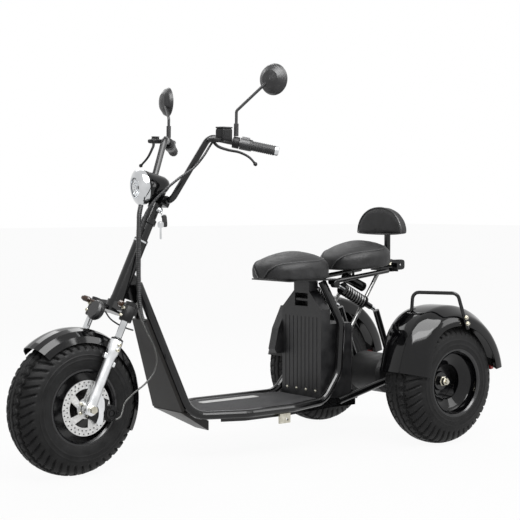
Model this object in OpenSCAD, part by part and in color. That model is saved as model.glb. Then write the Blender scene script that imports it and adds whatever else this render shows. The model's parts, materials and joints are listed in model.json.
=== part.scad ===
// Electric tricycle: raked fork and one steered wheel in front, step-through frame,
// battery box under two round seats, and a driven axle with two fendered wheels behind.
// X is forward, Y is to the rider's left, Z is up. Millimetres. The origin is on the ground.

/* [Wheels] */
// Outside diameter of the tyres
wheel_d = 457; // [420:1:490]
// Section width of the front tyre
front_tyre_w = 150; // [140:1:160]
// Section width of the rear tyres
rear_tyre_w = 184; // [165:1:190]
// Place of the front tyre's rear edge
front_tyre_x = 466.5; // [455:0.5:490]
// Place of the rear tyres' front edge
rear_tyre_x = -424.5; // [-450:0.5:-415]
// Distance between the middles of the rear tyres
track = 660; // [640:1:720]
// Diameter of the wheel axles
axle_d = 16; // [12:1:22]

/* [Steering] */
// Angle of the steering axis from upright
rake = 26; // [22:0.5:30]
// Turn of the bars to the left as it stands
steer_at_rest = 3; // [0:0.25:10]
// Distance of the front axle ahead of the steering axis
fork_offset = 8; // [0:1:30]
// Diameter of the lower fork legs
slider_d = 30; // [26:1:34]
// Diameter of the upper fork tubes
stanchion_d = 23; // [18:1:26]
// Outside diameter of the head tube
head_d = 46; // [40:1:50]
// Length of the head tube
head_len = 200; // [160:1:220]
// Height of the handlebar above the axle, along the steering axis
bar_s = 742; // [725:1:780]
// Rise of the handlebar from its clamp to its shoulders
bar_rise = 243; // [200:1:300]
// Diameter of the handlebar
bar_d = 22; // [20:1:24]
// Sideways place of the handlebar's shoulders
bar_shoulder_y = 122; // [110:1:135]
// Sideways place of the handlebar's ends
bar_end_y = 278; // [270:1:310]
// Distance that the grips sweep back
bar_sweep = 160; // [120:1:180]
// Diameter of the headlight's bezel
headlight_d = 120; // [110:1:126]
// Diameter of the mirrors
mirror_d = 106; // [90:1:120]

/* [Frame] */
// Diameter of the two frame rails
rail_d = 30; // [26:1:32]
// Height of the rails' middle along the floor
rail_z = 162; // [155:1:175]
// Sideways place of the rails at the widest part of the floor
rail_y = 168; // [160:1:180]
// Forward end of the floor, where the rails turn up
floor_front_x = 291; // [280:1:300]
// Sideways place of the rails where they turn up
leg_foot_y = 88; // [82:1:96]
// Depth of the leg shield ahead of the rails
shield_depth = 12; // [9:1:16]
// Thickness of the sheet metal
sheet_t = 3; // [2:0.5:4]

/* [Battery] */
// Width of the battery box
battery_w = 220; // [200:1:250]
// Length of the battery box
battery_l = 150; // [130:1:160]
// Height of the battery box
battery_h = 326; // [300:1:340]
// Forward face of the battery box
battery_x = -273; // [-280:1:-260]

/* [Seats] */
// Height of the front seat's underside
seat_z = 604; // [595:1:625]
// Length of the front seat
front_seat_l = 276; // [264:1:290]
// Width of the front seat
front_seat_w = 262; // [240:1:264]
// Thickness of the seats
seat_t = 100; // [80:1:110]
// Length of the rear seat
rear_seat_l = 262; // [252:1:290]
// Width of the rear seat
rear_seat_w = 250; // [220:1:252]
// Width of the backrest pad
backrest_w = 235; // [200:1:260]
// Height of the backrest pad
backrest_h = 88; // [70:1:110]
// Thickness of the backrest pad
backrest_t = 47; // [35:1:60]

/* [Rear end] */
// Gap between the rear tyres and the crown of their fenders
fender_gap = 48; // [30:1:60]
// Gap between the rear tyres and the sides of their fenders
fender_side_gap = 7; // [6:1:14]
// Diameter of the axle beam
beam_d = 48; // [40:1:60]
// Diameter of the motor housing
motor_d = 150; // [120:1:170]
// Length of the motor housing
motor_l = 170; // [140:1:200]

/* [Hidden] */
$fn = 64;
big = 2000;
play = 0.05;
seat_gap = 0.3;
wheel_r = wheel_d / 2;
side_y = track / 2;
bead_d = wheel_d - 209;
disc_d = bead_d - 68;
front_axle_x = front_tyre_x + wheel_r;
rear_axle_x = rear_tyre_x - wheel_r;
// The leaning front tyre is lifted so that it still touches the ground
lean = asin(sin(rake) * sin(steer_at_rest));
front_axle_z = (wheel_r - front_tyre_w / 2) * cos(lean) + front_tyre_w / 2;
// Foot of the front axle on the steering axis: the steered frame's origin
foot_x = front_axle_x - fork_offset * cos(rake);
foot_z = front_axle_z - fork_offset * sin(rake);
// A place in the raked frame, in the vehicle
function from_raked(p) = [
    foot_x + p[0] * cos(rake) - p[2] * sin(rake), p[1], foot_z + p[0] * sin(rake) + p[2] * cos(rake)
];
// Forward and upward of the vehicle, in the raked frame
ahead = [cos(rake), 0, -sin(rake)];
upward = [sin(rake), 0, cos(rake)];
// Fork: its legs stand clear of the tyre, and its clamp clear of the fender
fork_y = front_tyre_w / 2 + 7 + slider_d / 2;
disc_y = fork_y - slider_d / 2 - 7;
slider_top = wheel_r + 6.5;
clamp_s = wheel_r + 99.5;
head_s0 = clamp_s + 52;
head_s1 = head_s0 + head_len;
steerer_r = 17;
clamp_boss_r = 30;
stem_top = bar_s - 34;
// Corner points of the handlebar's left half in the steered frame
bar_back = 10;
bar_low = [-bar_back, 64, bar_s];
bar_shoulder = [-bar_back - 6, bar_shoulder_y, bar_s + bar_rise];
bar_end = [bar_shoulder[0] - bar_sweep, bar_end_y, bar_s + bar_rise + 30];
bar_bend_r = 30;
clamp_r = bar_d / 2 + 6;
grip_len = 84;
grip_r = 17;
// Controls on the bar, by their distance in from its end
pod_len = 34;
perch_back = grip_len + pod_len + 2;
perch_len = 26;
perch_r = grip_r + 2;
// Leg part of the rails: from the neck down to the floor
rail_r = rail_d / 2;
neck_half = 4.7;
leg_top = from_raked([-head_d / 2 - 16, neck_half + rail_r + seat_gap, head_s0 + 70]);
leg_foot = [floor_front_x, leg_foot_y, rail_z];
leg_lean = atan2(leg_top[0] - leg_foot[0], leg_top[2] - leg_foot[2]);
leg_len = norm([leg_top[0] - leg_foot[0], leg_top[2] - leg_foot[2]]);
// Floor part of the rails: it flares behind the legs and closes in on the battery box
flare_x = floor_front_x - 186;
wide_x = -90;
rail_back_y = battery_w / 2 + rail_r + 5;
seat_plate_t = 5;
rail_top = [battery_x - 47, rail_back_y - 68, seat_z - seat_plate_t - seat_gap - 0.44 * rail_r];
rail_bend_r = 80;
mat_z = rail_z + 6;
pan_front_x = floor_front_x - 21;
pan_rear_x = battery_x - battery_l - 17;
pan_back_y = battery_w / 2 + 3;
// Neck of the battery box, which stays ahead of the rails, and the hollow for its handle
neck_l = 44;
handle_in = neck_l - 8;
handle_half = 36;
// Seats
front_seat_x = -236;
rear_seat_x = -540;
rear_seat_z = seat_z + 33;
back_x = rear_seat_x - rear_seat_l / 2 - 40;
back_z = rear_seat_z + 136;
post_r = 12;
// Rear end
fender_r = wheel_r + fender_gap + sheet_t;
fender_w = rear_tyre_w + 2 * (fender_side_gap + sheet_t);
fender_y0 = side_y - fender_w / 2;
fender_start = 20;
fender_end = 170;
arm_r = 13;
arm_y = pan_back_y + seat_gap + arm_r;
// Uprights behind the battery that the seat stays stand on, and the shocks' ends
upright_x = pan_rear_x - 3;
upright_y = 78;
upright_z = 400;
shock_y = 100;
shock_eye_r = 14;
function shock_top(side) = [-350, side * shock_y, seat_z - seat_plate_t - shock_eye_r - seat_gap];
function shock_low(side) = [-556, side * shock_y, 478];

function unit(v) = v / norm(v);
function mirrored(p) = [p[0], -p[1], p[2]];

// Carries children from the raked frame, whose Z is the steering axis, to the vehicle
module raked() {
    translate([foot_x, 0, foot_z]) rotate([0, -rake, 0]) children();
}

// The same frame turned with the bars
module steered() {
    raked() rotate([0, 0, steer_at_rest]) children();
}

// Points a child's Z axis from p to q
module along(p, q) {
    d = q - p;
    translate(p)
        rotate([0, acos(d[2] / norm(d)), atan2(d[1], d[0])])
            children();
}

// A round bar from p to q
module bar(p, q, r) {
    along(p, q) cylinder(r = r, h = norm(q - p));
}

// Points round one bend: a and b are the directions into and out of corner p
function bend_points(a, p, b, bend, steps) =
    let (
        turn = acos(a * b),
        inward = unit(b - a * (a * b)),
        middle = p - a * bend * tan(turn / 2) + inward * bend
    )
    [for (i = [0 : steps]) middle - inward * bend * cos(turn * i / steps) + a * bend * sin(turn * i / steps)];

// A route through the points with its corners bent to one radius
function route(pts, bend, steps) = concat(
    [pts[0]],
    [for (i = [1 : len(pts) - 2])
        each bend_points(unit(pts[i] - pts[i - 1]), pts[i], unit(pts[i + 1] - pts[i]), bend, steps)],
    [pts[len(pts) - 1]]
);

// Direction of a path at each of its points
function headings(path) = [for (i = [0 : len(path) - 1])
    unit(path[min(i + 1, len(path) - 1)] - path[max(i - 1, 0)])];

// A sideways direction at each point, carried along the path without twist
function sideways(dirs, i, last) = i == len(dirs) ? [] :
    let (n = unit(last - dirs[i] * (last * dirs[i])))
    concat([n], sideways(dirs, i + 1, n));

// A round tube swept along a path
module swept_tube(path, r, sides) {
    n = len(path);
    t = headings(path);
    first = abs(t[0][0]) < 0.8 ? [1, 0, 0] : [0, 1, 0];
    u = sideways(t, 0, first);
    points = [for (i = [0 : n - 1], k = [0 : sides - 1])
        path[i] + r * (cos(360 * k / sides) * u[i] + sin(360 * k / sides) * cross(t[i], u[i]))];
    walls = [for (i = [0 : n - 2], k = [0 : sides - 1])
        let (a = i * sides + k, b = i * sides + (k + 1) % sides)
        each [[a, a + sides, b], [b, a + sides, b + sides]]];
    ends = [[for (k = [0 : sides - 1]) k], [for (k = [0 : sides - 1]) n * sides - 1 - k]];
    polyhedron(points, concat(walls, ends), convexity = 6);
}

// A tube bent at the inner points
module bent_tube(pts, r, bend, sides = 14, steps = 7) {
    swept_tube(route(pts, bend, steps), r, sides);
}

// A revolved shape about Y, its profile drawn as radius against Y
module about_y(angle = 360, from = 0) {
    rotate([90, 0, 0]) rotate([0, 0, from]) rotate_extrude(angle = angle, $fn = 96) children();
}

module mirror_y() {
    children();
    mirror([0, 1, 0]) children();
}

// Steering head and the web plate that joins it to the rails
module frame_neck() {
    x0 = -head_d / 2;
    color("#17181a") raked() difference() {
        union() {
            translate([0, 0, head_s0]) cylinder(d = head_d, h = head_len);
            translate([x0, neck_half, head_s0])
                rotate([90, 0, 0])
                    linear_extrude(height = 2 * neck_half)
                        polygon([[3, 8], [3, 98], [-20, 88], [-70, 30], [-46, 14]]);
        }
        translate([0, 0, head_s0 - 1]) cylinder(r = steerer_r + play, h = head_len + 2);
    }
}

module rail() {
    bent_tube([
        leg_top,
        leg_foot,
        [flare_x, rail_y, rail_z],
        [wide_x, rail_y, rail_z],
        [battery_x + 11, rail_back_y + 8, rail_z + 6],
        [battery_x - 67, rail_back_y, rail_z + 100],
        [battery_x - 80, rail_back_y, rail_z + 278],
        rail_top
    ], rail_r, rail_bend_r, 14, 6);
}

module rails() {
    color("#1b1c1e") mirror_y() rail();
}

// Shallow pan on the front of the rails, with a keel that runs back under the floor
module leg_shield() {
    low = 0.058 * leg_len;
    high = 0.75 * leg_len;
    keel_top = [leg_foot[0] + 35, leg_foot[2] + 18];
    keel_end = [leg_foot[0] - 114, leg_foot[2] - 67];
    color("#221d1a") {
        translate([leg_foot[0], 0, leg_foot[2]])
            rotate([0, leg_lean, 0])
                translate([rail_r + seat_gap, 0, 0])
                    rotate([0, 90, 0]) difference() {
                        linear_extrude(height = shield_depth) shield_outline(low, high, 0);
                        translate([0, 0, -1])
                            linear_extrude(height = shield_depth + 1 - sheet_t)
                                shield_outline(low, high, sheet_t);
                    }
        hull() {
            translate([keel_top[0] - 9, -leg_foot_y + 6, keel_top[1] - 6])
                cube([8, 2 * leg_foot_y - 12, 6]);
            translate([keel_end[0], -36, keel_end[1]]) cube([4, 72, 33]);
        }
    }
}

// Outline of the leg shield in its own plane, from low to high along the legs, drawn in by t
module shield_outline(low, high, t) {
    edge = 4;
    function half(u) = leg_foot[1] + (leg_top[1] - leg_foot[1]) * u / leg_len + edge - t;
    polygon([
        [-low - t, -half(low)], [-high + t, -half(high)], [-high + t, half(high)], [-low - t, half(low)]
    ]);
}

// Sideways place of the floor pan's edge beside the flaring rail
function pan_y(x) =
    let (slope = (rail_y - leg_foot_y) / (floor_front_x - flare_x))
    leg_foot_y + (floor_front_x - x) * slope - 1.1 * (rail_r + 0.15);

// Left edge of the floor from x0 back to the battery box, drawn in by t
function floor_side(x0, t) = [
    [x0, pan_y(x0) - t], [flare_x, rail_y - rail_r - 2.2 - t], [wide_x, rail_y - rail_r - 0.5 - t],
    [battery_x + 11, rail_back_y + 8 - rail_r - 0.6 - t]
];

// A left edge closed with its mirror image
module both_sides(side) {
    n = len(side);
    polygon(concat(side, [for (i = [1 : n]) [side[n - i][0], -side[n - i][1]]]));
}

// Floor pan with turned-down sides behind the keel
module footboard() {
    drop = 33;
    side_x = floor_front_x - 108;
    rear = [[battery_x - 60, pan_back_y], [pan_rear_x, pan_back_y]];
    rear_in = [[battery_x - 60, pan_back_y - sheet_t], [pan_rear_x - 1, pan_back_y - sheet_t]];
    color("#1a1b1d") translate([0, 0, mat_z - sheet_t]) {
        linear_extrude(height = sheet_t) both_sides(concat(floor_side(pan_front_x, 0), rear));
        translate([0, 0, sheet_t - drop]) difference() {
            linear_extrude(height = drop) both_sides(concat(floor_side(side_x, 0), rear));
            translate([0, 0, -1])
                linear_extrude(height = drop + 1 - sheet_t)
                    both_sides(concat(floor_side(side_x + 1, sheet_t + 1), rear_in));
        }
    }
}

// Ribbed mat on the floor ahead of the battery
module floor_mat() {
    base = 4;
    rib_pitch = 16;
    x0 = battery_x + 17;
    function rib_front(y) =
        min(pan_front_x - 14, floor_front_x - (abs(y) + 30 - leg_foot_y) * 186 / (rail_y - leg_foot_y));
    function rib_rear(y) = max(x0, x0 - 6 + (abs(y) + 14 - rail_back_y - 8 + rail_r) * 5.75);
    color("#45474a") {
        translate([0, 0, mat_z]) linear_extrude(height = base) both_sides(floor_side(pan_front_x - 8, 5));
        for (i = [-8 : 8])
            translate([rib_rear(i * rib_pitch), i * rib_pitch - 3.5, mat_z + base])
                cube([rib_front(i * rib_pitch) - rib_rear(i * rib_pitch), 7, 2]);
    }
}

// Battery box with a fluted front and a narrow neck, hollowed for its handle, up to the seat
module battery_box() {
    flute_pitch = 22;
    half = battery_w / 2;
    z1 = mat_z + battery_h;
    body_z = rail_z + 278;
    color("#2b2b2d") difference() {
        union() {
            translate([battery_x - battery_l, -half, mat_z]) cube([battery_l, battery_w, body_z - mat_z]);
            translate([battery_x - neck_l, 0, 0]) rotate([90, 0, 90])
                linear_extrude(height = neck_l) polygon([
                    [-half, body_z - 1], [half, body_z - 1], [half, z1], [half - 68, z1 + 64],
                    [half - 68, seat_z - seat_plate_t - 6], [68 - half, seat_z - seat_plate_t - 6],
                    [68 - half, z1 + 64], [-half, z1]
                ]);
        }
        for (y = [-half + 20 : flute_pitch : half - 20])
            translate([battery_x - 2, y, mat_z + 30]) cube([10, 3, battery_h - 60]);
        translate([battery_x - handle_in, -handle_half, z1 + 8]) cube([handle_in + 1, 2 * handle_half, 48]);
    }
}

// Carrying handle across the hollow in the battery box's neck
module battery_handle() {
    x = battery_x - 9;
    z = mat_z + battery_h + 32;
    end = handle_half - seat_gap;
    color("#1c1c1e") bar([x, -end, z], [x, end, z], 7);
}

// Controller housing on the right of the battery box
module controller_box() {
    color("#303032") translate([battery_x, -battery_w / 2 - seat_gap, mat_z])
        rotate([90, 0, 0])
            linear_extrude(height = 38) polygon([
                [-46, 150], [26, 150], [36, 166], [18, 243], [-24, battery_h], [-46, battery_h]
            ]);
}

// Plates and tubes under the seats
module seat_frame() {
    tube_y = 76;
    tube_r = 9;
    front_x = front_seat_x - 109;
    rear_x = rear_seat_x - 100;
    low_z = seat_z - seat_plate_t - tube_r;
    high_z = rear_seat_z - seat_plate_t - tube_r;
    cross_x = back_x + post_r + seat_gap;
    color("#161719") {
        translate([front_x - 21, -108, seat_z - seat_plate_t]) cube([240, 216, seat_plate_t]);
        translate([cross_x, -60, rear_seat_z - seat_plate_t])
            cube([rear_seat_x + 100 - cross_x, 120, seat_plate_t]);
        translate([cross_x, -73, rear_seat_z - 19]) cube([6, 146, 32]);
        for (side = [-1, 1]) {
            bar([front_x, side * tube_y, low_z], [rear_x, side * tube_y, high_z], tube_r);
            translate([rear_x - 4, side * 66 - 12, high_z]) cube([40, 24, tube_r + seat_plate_t]);
            bar([rear_seat_x - 48, side * tube_y, high_z - 5],
                [upright_x, side * upright_y, upright_z + seat_gap + 5], 6.5);
        }
    }
}

// A round-ended seat cushion, flat below and domed above
module cushion(l, w, t) {
    r = w / 2;
    hull() for (end = [-1, 1])
        translate([end * (l - w) / 2, 0, 0]) rotate_extrude($fn = 48) polygon([
            [0, 0], [r - 6, 0], [r, 12], [r, t * 0.36], [r - 8, t * 0.52], [r - 24, t * 0.67],
            [r - 46, t * 0.79], [r - 80, t * 0.92], [r * 0.18, t], [0, t]
        ]);
}

module front_seat() {
    color("#3a3a3c") translate([front_seat_x, 0, seat_z]) cushion(front_seat_l, front_seat_w, seat_t);
}

module rear_seat() {
    color("#3a3a3c") translate([rear_seat_x, 0, rear_seat_z]) cushion(rear_seat_l, rear_seat_w, seat_t);
}

module backrest_post() {
    color("#151618") {
        translate([back_x - post_r, -24, rear_seat_z - 22]) cube([2 * post_r, 48, 42]);
        bar([back_x, 0, rear_seat_z], [back_x, 0, back_z + backrest_h * 0.6], post_r);
    }
}

// Domed pad with a flat bottom
module backrest_pad() {
    n = 24;
    power = 2.6;
    function stretch(a) = 1 / pow(pow(abs(cos(a)), power) + pow(sin(a), power), 1 / power);
    dome = [for (i = [1 : n - 1])
        let (a = 180 * i / n)
        [backrest_w / 2 * cos(a) * stretch(a), backrest_h * sin(a) * stretch(a)]];
    base = [[-backrest_w / 2 + 10, 0], [backrest_w / 2 - 10, 0]];
    color("#2a2a2c")
        translate([back_x + post_r + seat_gap, 0, back_z])
            rotate([90, 0, 90])
                linear_extrude(height = backrest_t)
                    polygon(concat(base, dome));
}

// Arms from the floor pan to the axle beam, the beam, its stub axles and the fender stays
module rear_subframe() {
    beam_out = fender_y0 - seat_gap;
    arm_x = battery_x - 72;
    arm_z = mat_z - 10;
    cross_z = arm_z + (wheel_r - arm_z) * (upright_x - arm_x) / (rear_axle_x - arm_x);
    color("#121314") {
        for (side = [-1, 1]) {
            bar([arm_x, side * arm_y, arm_z], [rear_axle_x, side * arm_y, wheel_r], arm_r);
            bar([upright_x, side * upright_y, cross_z], [upright_x, side * upright_y, upright_z], 9);
            bar([upright_x, side * upright_y, cross_z], [upright_x, side * arm_y, cross_z], 8);
            bar([rear_axle_x, side * shock_y, wheel_r], shock_low(side), 12);
            bar([rear_axle_x, side * motor_l / 2, wheel_r],
                [rear_axle_x, side * beam_out, wheel_r], beam_d / 2);
            bar([rear_axle_x, side * beam_out, wheel_r],
                [rear_axle_x, side * (side_y + 24), wheel_r], axle_d / 2);
            translate([rear_axle_x - 20, side * (beam_out - 4) - 4, wheel_r])
                cube([40, 8, fender_r - 12]);
        }
    }
}

module motor() {
    color("#1a1a1c") translate([rear_axle_x, 0, wheel_r]) about_y() polygon([
        [0, -motor_l / 2], [motor_d / 2 - 12, -motor_l / 2], [motor_d / 2, -motor_l / 2 + 12],
        [motor_d / 2, motor_l / 2 - 12], [motor_d / 2 - 12, motor_l / 2], [0, motor_l / 2]
    ]);
}

// Two spring and damper units under the rear seat
module shocks() {
    coils = 8;
    pitch = 15;
    body_r = 15;
    cup = 40;
    color("#202124") for (side = [-1, 1]) {
        top = shock_top(side);
        low = shock_low(side);
        run = unit(low - top);
        translate(top) rotate([90, 0, 0]) cylinder(r = shock_eye_r, h = 24, center = true);
        bar(top, low - run * (12 + seat_gap), 8);
        along(top + run * cup, low) {
            cylinder(r = body_r, h = coils * pitch);
            cylinder(r = 23, h = 6);
            translate([0, 0, coils * pitch - 6]) cylinder(r = 23, h = 6);
            for (i = [1 : coils - 1])
                translate([0, 0, pitch * i]) rotate_extrude() translate([17, 0]) circle(r = 4.5);
        }
    }
}

// Small can that hangs from the plate under the rear seat
module reserve_can() {
    top = [rear_seat_x + 85, 40, rear_seat_z - 33];
    low = [rear_seat_x - 5, 40, rear_seat_z - 74];
    color("#1a1b1d") {
        bar(low, top, 18);
        bar(top, top + 10 * unit(top - low), 11);
        translate([rear_seat_x + 45, 40, rear_seat_z - 52]) cylinder(r = 5, h = 52 - seat_plate_t - seat_gap);
    }
}

// Arched fender over one rear wheel: a tight outer shoulder, a round inner one and turned-down sides
module rear_fender() {
    w = fender_w / 2;
    t = sheet_t;
    r = fender_r;
    color("#0e0f10") translate([rear_axle_x, side_y, wheel_r])
        about_y(fender_end - fender_start, fender_start) polygon([
            [r - 72, -w], [r - 14, -w + 2], [r - 4, -w + 11], [r, -w + 34], [r, w - 60], [r - 6, w - 22],
            [r - 22, w - 4], [r - 60, w], [r - 60, w - t], [r - 24, w - 4 - t], [r - 9, w - 24],
            [r - t, w - 60], [r - t, -w + 35], [r - 4 - t, -w + 13], [r - 15, -w + 2 + t], [r - 72, -w + t]
        ]);
}

module rear_fenders() {
    mirror_y() rear_fender();
}

// Hand hoops over the rear fenders, from the inner front to the outer rear
module grab_rails() {
    tube_r = 6.5;
    x0 = rear_axle_x + 105;
    x1 = rear_axle_x + 17;
    y0 = fender_y0 + 68;
    y1 = side_y + fender_w / 2 + tube_r + seat_gap;
    z0 = wheel_r + sqrt(pow(fender_r, 2) - pow(x0 - rear_axle_x - tube_r, 2)) + seat_gap;
    z1 = wheel_r + fender_r + 48;
    color("#1a1b1d") mirror_y() bent_tube([
        [x0, y0, z0], [x0 - 6, y0, z1], [x1, y1, z1], [x1 - 54, y1, wheel_r + fender_r - 84]
    ], tube_r, 24, 12, 5);
}

module tail_lamps() {
    color("#5a1512") mirror_y() translate([rear_axle_x, 0, wheel_r]) rotate([0, -fender_end, 0])
        translate([fender_r - 14, side_y - 20, seat_gap]) cube([14, 40, 24]);
}

// Drilled bracket for a side stand, under the left rail
module stand_bracket() {
    drop = 34;
    color("#8d8f90") translate([-78, rail_y - 4, rail_z - rail_r - drop - seat_gap])
        difference() {
            cube([48, 8, drop]);
            translate([14, -1, 14]) rotate([-90, 0, 0]) cylinder(d = 11, h = 10);
        }
}

// Steering stem with its bearing rings
module steerer() {
    s0 = clamp_s + 38;
    color("#18191b") steered() {
        translate([0, 0, s0]) cylinder(r = steerer_r, h = stem_top - s0);
        translate([0, 0, s0]) cylinder(d = head_d + 2, h = head_s0 - seat_gap - s0);
        translate([0, 0, head_s1 + seat_gap]) cylinder(d = head_d + 2, h = 12);
        translate([0, 0, head_s1 + 12 + seat_gap])
            cylinder(d = head_d - 6, h = stem_top - head_s1 - 12 - seat_gap);
    }
}

// Lower fork clamp: a bridge between two split bosses
module lower_clamp() {
    boss_r = stanchion_d / 2 + 8;
    color("#1d1e20") steered() difference() {
        union() {
            for (side = [-1, 1])
                translate([fork_offset, side * fork_y, clamp_s]) cylinder(r = boss_r, h = 38);
            translate([-26, -fork_y, clamp_s + 4]) cube([fork_offset + 40, 2 * fork_y, 30]);
            translate([0, 0, clamp_s]) cylinder(r = clamp_boss_r, h = 38);
        }
        for (side = [-1, 1])
            translate([fork_offset, side * fork_y, clamp_s - 1])
                cylinder(d = stanchion_d + 2 * play, h = 35);
    }
}

module stanchions() {
    color("#c9cbcc") steered() for (side = [-1, 1])
        translate([fork_offset, side * fork_y, slider_top])
            cylinder(d = stanchion_d, h = clamp_s + 33 - slider_top);
}

// Cast lower legs with a collar on top and an axle lug at the foot
module sliders() {
    color("#b9bbbd") steered() for (side = [-1, 1])
        translate([fork_offset, side * fork_y, 0]) difference() {
            union() {
                translate([0, 0, -24]) cylinder(d = slider_d, h = slider_top + 24);
                translate([0, 0, slider_top - 40]) cylinder(d = slider_d + 10, h = 40);
            }
            rotate([90, 0, 0]) cylinder(d = axle_d + 2 * play, h = big, center = true);
        }
}

module front_axle() {
    half = fork_y + slider_d / 2;
    color("#a9a48c") steered() translate([fork_offset, 0, 0]) rotate([90, 0, 0]) {
        cylinder(d = axle_d, h = 2 * half + 6, center = true);
        for (side = [-1, 1])
            translate([0, 0, side * (half + 8)]) cylinder(d = 26, h = 12, center = true, $fn = 6);
    }
}

// Sheet fender that hugs the front tyre's round section, with lugs to the fork legs
module front_fender() {
    r = wheel_r + 18;
    w = front_tyre_w / 2 - 3;
    t = 2.5;
    color("#101112") steered() translate([fork_offset, 0, 0]) {
        translate([8, 0, 3]) about_y(156, 25) polygon([
            [r - 44, w], [r - 24, w - 9], [r - 9, w - 28], [r - 2, w - 50], [r, 0], [r - 2, -w + 50],
            [r - 9, -w + 28], [r - 24, -w + 9], [r - 44, -w], [r - 44, -w + t], [r - 25, -w + 9 + t],
            [r - 10, -w + 29 + t], [r - 2 - t, -w + 50 + t], [r - t, 0], [r - 2 - t, w - 50 - t],
            [r - 10, w - 29 - t], [r - 25, w - 9 - t], [r - 44, w - t]
        ]);
        mirror_y() translate([-12, w - 7, slider_top - 36])
            cube([24, fork_y - slider_d / 2 - 5 - seat_gap - w + 7, 34]);
    }
}

// Block that clamps the handlebar to the stem
module bar_clamp() {
    half = 38;
    color("#1b1c1e") steered() difference() {
        union() {
            translate([0, 0, stem_top]) cylinder(d = head_d, h = 16);
            translate([-bar_back - clamp_r, -half, bar_s - 18]) cube([2 * clamp_r, 2 * half, 18]);
            translate([-bar_back, 0, bar_s]) rotate([90, 0, 0])
                cylinder(r = clamp_r, h = 2 * half, center = true);
        }
        translate([-bar_back, 0, bar_s]) rotate([90, 0, 0])
            cylinder(r = bar_d / 2 + play, h = 2 * half + 2, center = true);
    }
}

module handlebar() {
    color("#1a1b1d") steered() bent_tube([
        mirrored(bar_end), mirrored(bar_shoulder), mirrored(bar_low), bar_low, bar_shoulder, bar_end
    ], bar_d / 2, bar_bend_r);
}

// Carries children to the left bar end: Z runs out along the grip
module on_grip(back) {
    along(bar_end - unit(bar_end - bar_shoulder) * back, bar_end) children();
}

module grips() {
    color("#222325") steered() mirror_y() on_grip(grip_len) difference() {
        union() {
            cylinder(r = grip_r, h = grip_len);
            cylinder(r = grip_r + 3, h = 6);
            translate([0, 0, grip_len]) cylinder(r = grip_r - 2, h = 12);
        }
        translate([0, 0, -1]) cylinder(r = bar_d / 2 + play, h = grip_len + 1);
    }
}

// Switch pods inboard of the grips
module switch_pods() {
    color("#1d1d1f") steered() mirror_y() on_grip(grip_len + pod_len + 1) difference() {
        union() {
            cylinder(r = grip_r + 3, h = pod_len);
            translate([-grip_r - 4, -15, 4]) cube([8, 30, pod_len - 8]);
        }
        translate([0, 0, -1]) cylinder(r = bar_d / 2 + play, h = pod_len + 2);
    }
}

// Lever perch with its fluid reservoir and the lever blade; X is down, Y back and Z out along the grip
module levers() {
    reach = perch_len + 2 + pod_len + grip_len;
    ball = [70, -60, reach - 20];
    color("#19191b") steered() mirror_y() on_grip(perch_back + perch_len) {
        difference() {
            union() {
                cylinder(r = perch_r, h = perch_len);
                translate([-14, -30, -18]) cube([28, 18, perch_len + 12]);
                translate([-22, -50, -18]) cube([36, 30, perch_len + 12]);
            }
            translate([0, 0, -20]) cylinder(r = bar_d / 2 + play, h = perch_len + 22);
        }
        bent_tube([[6, -40, 4], [16, -62, 26], ball], 5, 12, 10, 4);
        translate(ball) sphere(r = 8);
    }
}

// Foot of a mirror's stem in the steered frame, and the two heads, the left one set higher
mirror_base = bar_end - unit(bar_end - bar_shoulder) * (perch_back + perch_len / 2);
left_head = mirror_base + [11, 78, 231];
right_head = mirror_base + [23, 78, 159];
boot_len = 42;

// Carries children to a mirror on the left: Z runs back towards the rider
module on_mirror(head) {
    splay = 17;
    translate(head) rotate(a = splay, v = upward) rotate([0, rake - 90, 0]) children();
}

// A mirror's boot, bent stem and round housing
module mirror_stem(head, rise) {
    foot = mirror_base + (perch_r + 2.3) * upward;
    bend = foot + rise * upward;
    bar(foot, foot + boot_len * upward, 8);
    bent_tube([foot + boot_len * upward, bend, head + 12 * ahead], 5, 12, 10, 4);
    on_mirror(head) rotate_extrude() polygon([
        [0, -26], [mirror_d * 0.28, -20], [mirror_d * 0.45, -6], [mirror_d / 2, 6], [mirror_d / 2 - 4, 8],
        [mirror_d / 2 - 4, 4], [0, 4]
    ]);
}

// Rear-view mirrors on bent stems
module mirrors() {
    color("#151517") steered() {
        mirror_stem(left_head, 84);
        mirror([0, 1, 0]) mirror_stem(right_head, 70);
    }
}

module mirror_glass() {
    r = mirror_d / 2 - 4 - seat_gap;
    color("#9aa4ab") steered() {
        on_mirror(left_head) translate([0, 0, 4]) cylinder(r = r, h = 3);
        mirror([0, 1, 0]) on_mirror(right_head) translate([0, 0, 4]) cylinder(r = r, h = 3);
    }
}

module on_headlight() {
    steered() translate([-16, 0, bar_s + 71]) rotate([0, 90 + rake + 5, 0]) children();
}

// Bowl of the headlight, on a post from the handlebar's clamp
module headlight_shell() {
    r = headlight_d / 2;
    color("#141416") {
        on_headlight() rotate_extrude() polygon([
            [0, 0], [10, 2], [18, 6], [28, 18], [34, 34], [r - 14, 62], [r - 4, 90], [r - 3, 104], [0, 104]
        ]);
        steered() translate([-bar_back - 4, 0, bar_s + clamp_r + seat_gap]) cylinder(r = 7, h = 40);
    }
}

// Tapered bright ring between the bowl and the glass
module headlight_bezel() {
    r = headlight_d / 2;
    color("#d7d9da") on_headlight() rotate_extrude() polygon([
        [r - 3 + play, 100], [r, 96], [r + 1, 110], [r - 5, 119], [lens_r + 3, 127], [lens_r + play, 126],
        [lens_r + play, 104 + play], [r - 3 + play, 104 + play]
    ]);
}

lens_r = 34;

module headlight_lens() {
    color("#cfd8dc") on_headlight() rotate_extrude() polygon([
        [0, 104 + play], [lens_r, 104 + play], [lens_r, 122], [lens_r * 0.7, 127], [0, 130]
    ]);
}

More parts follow.
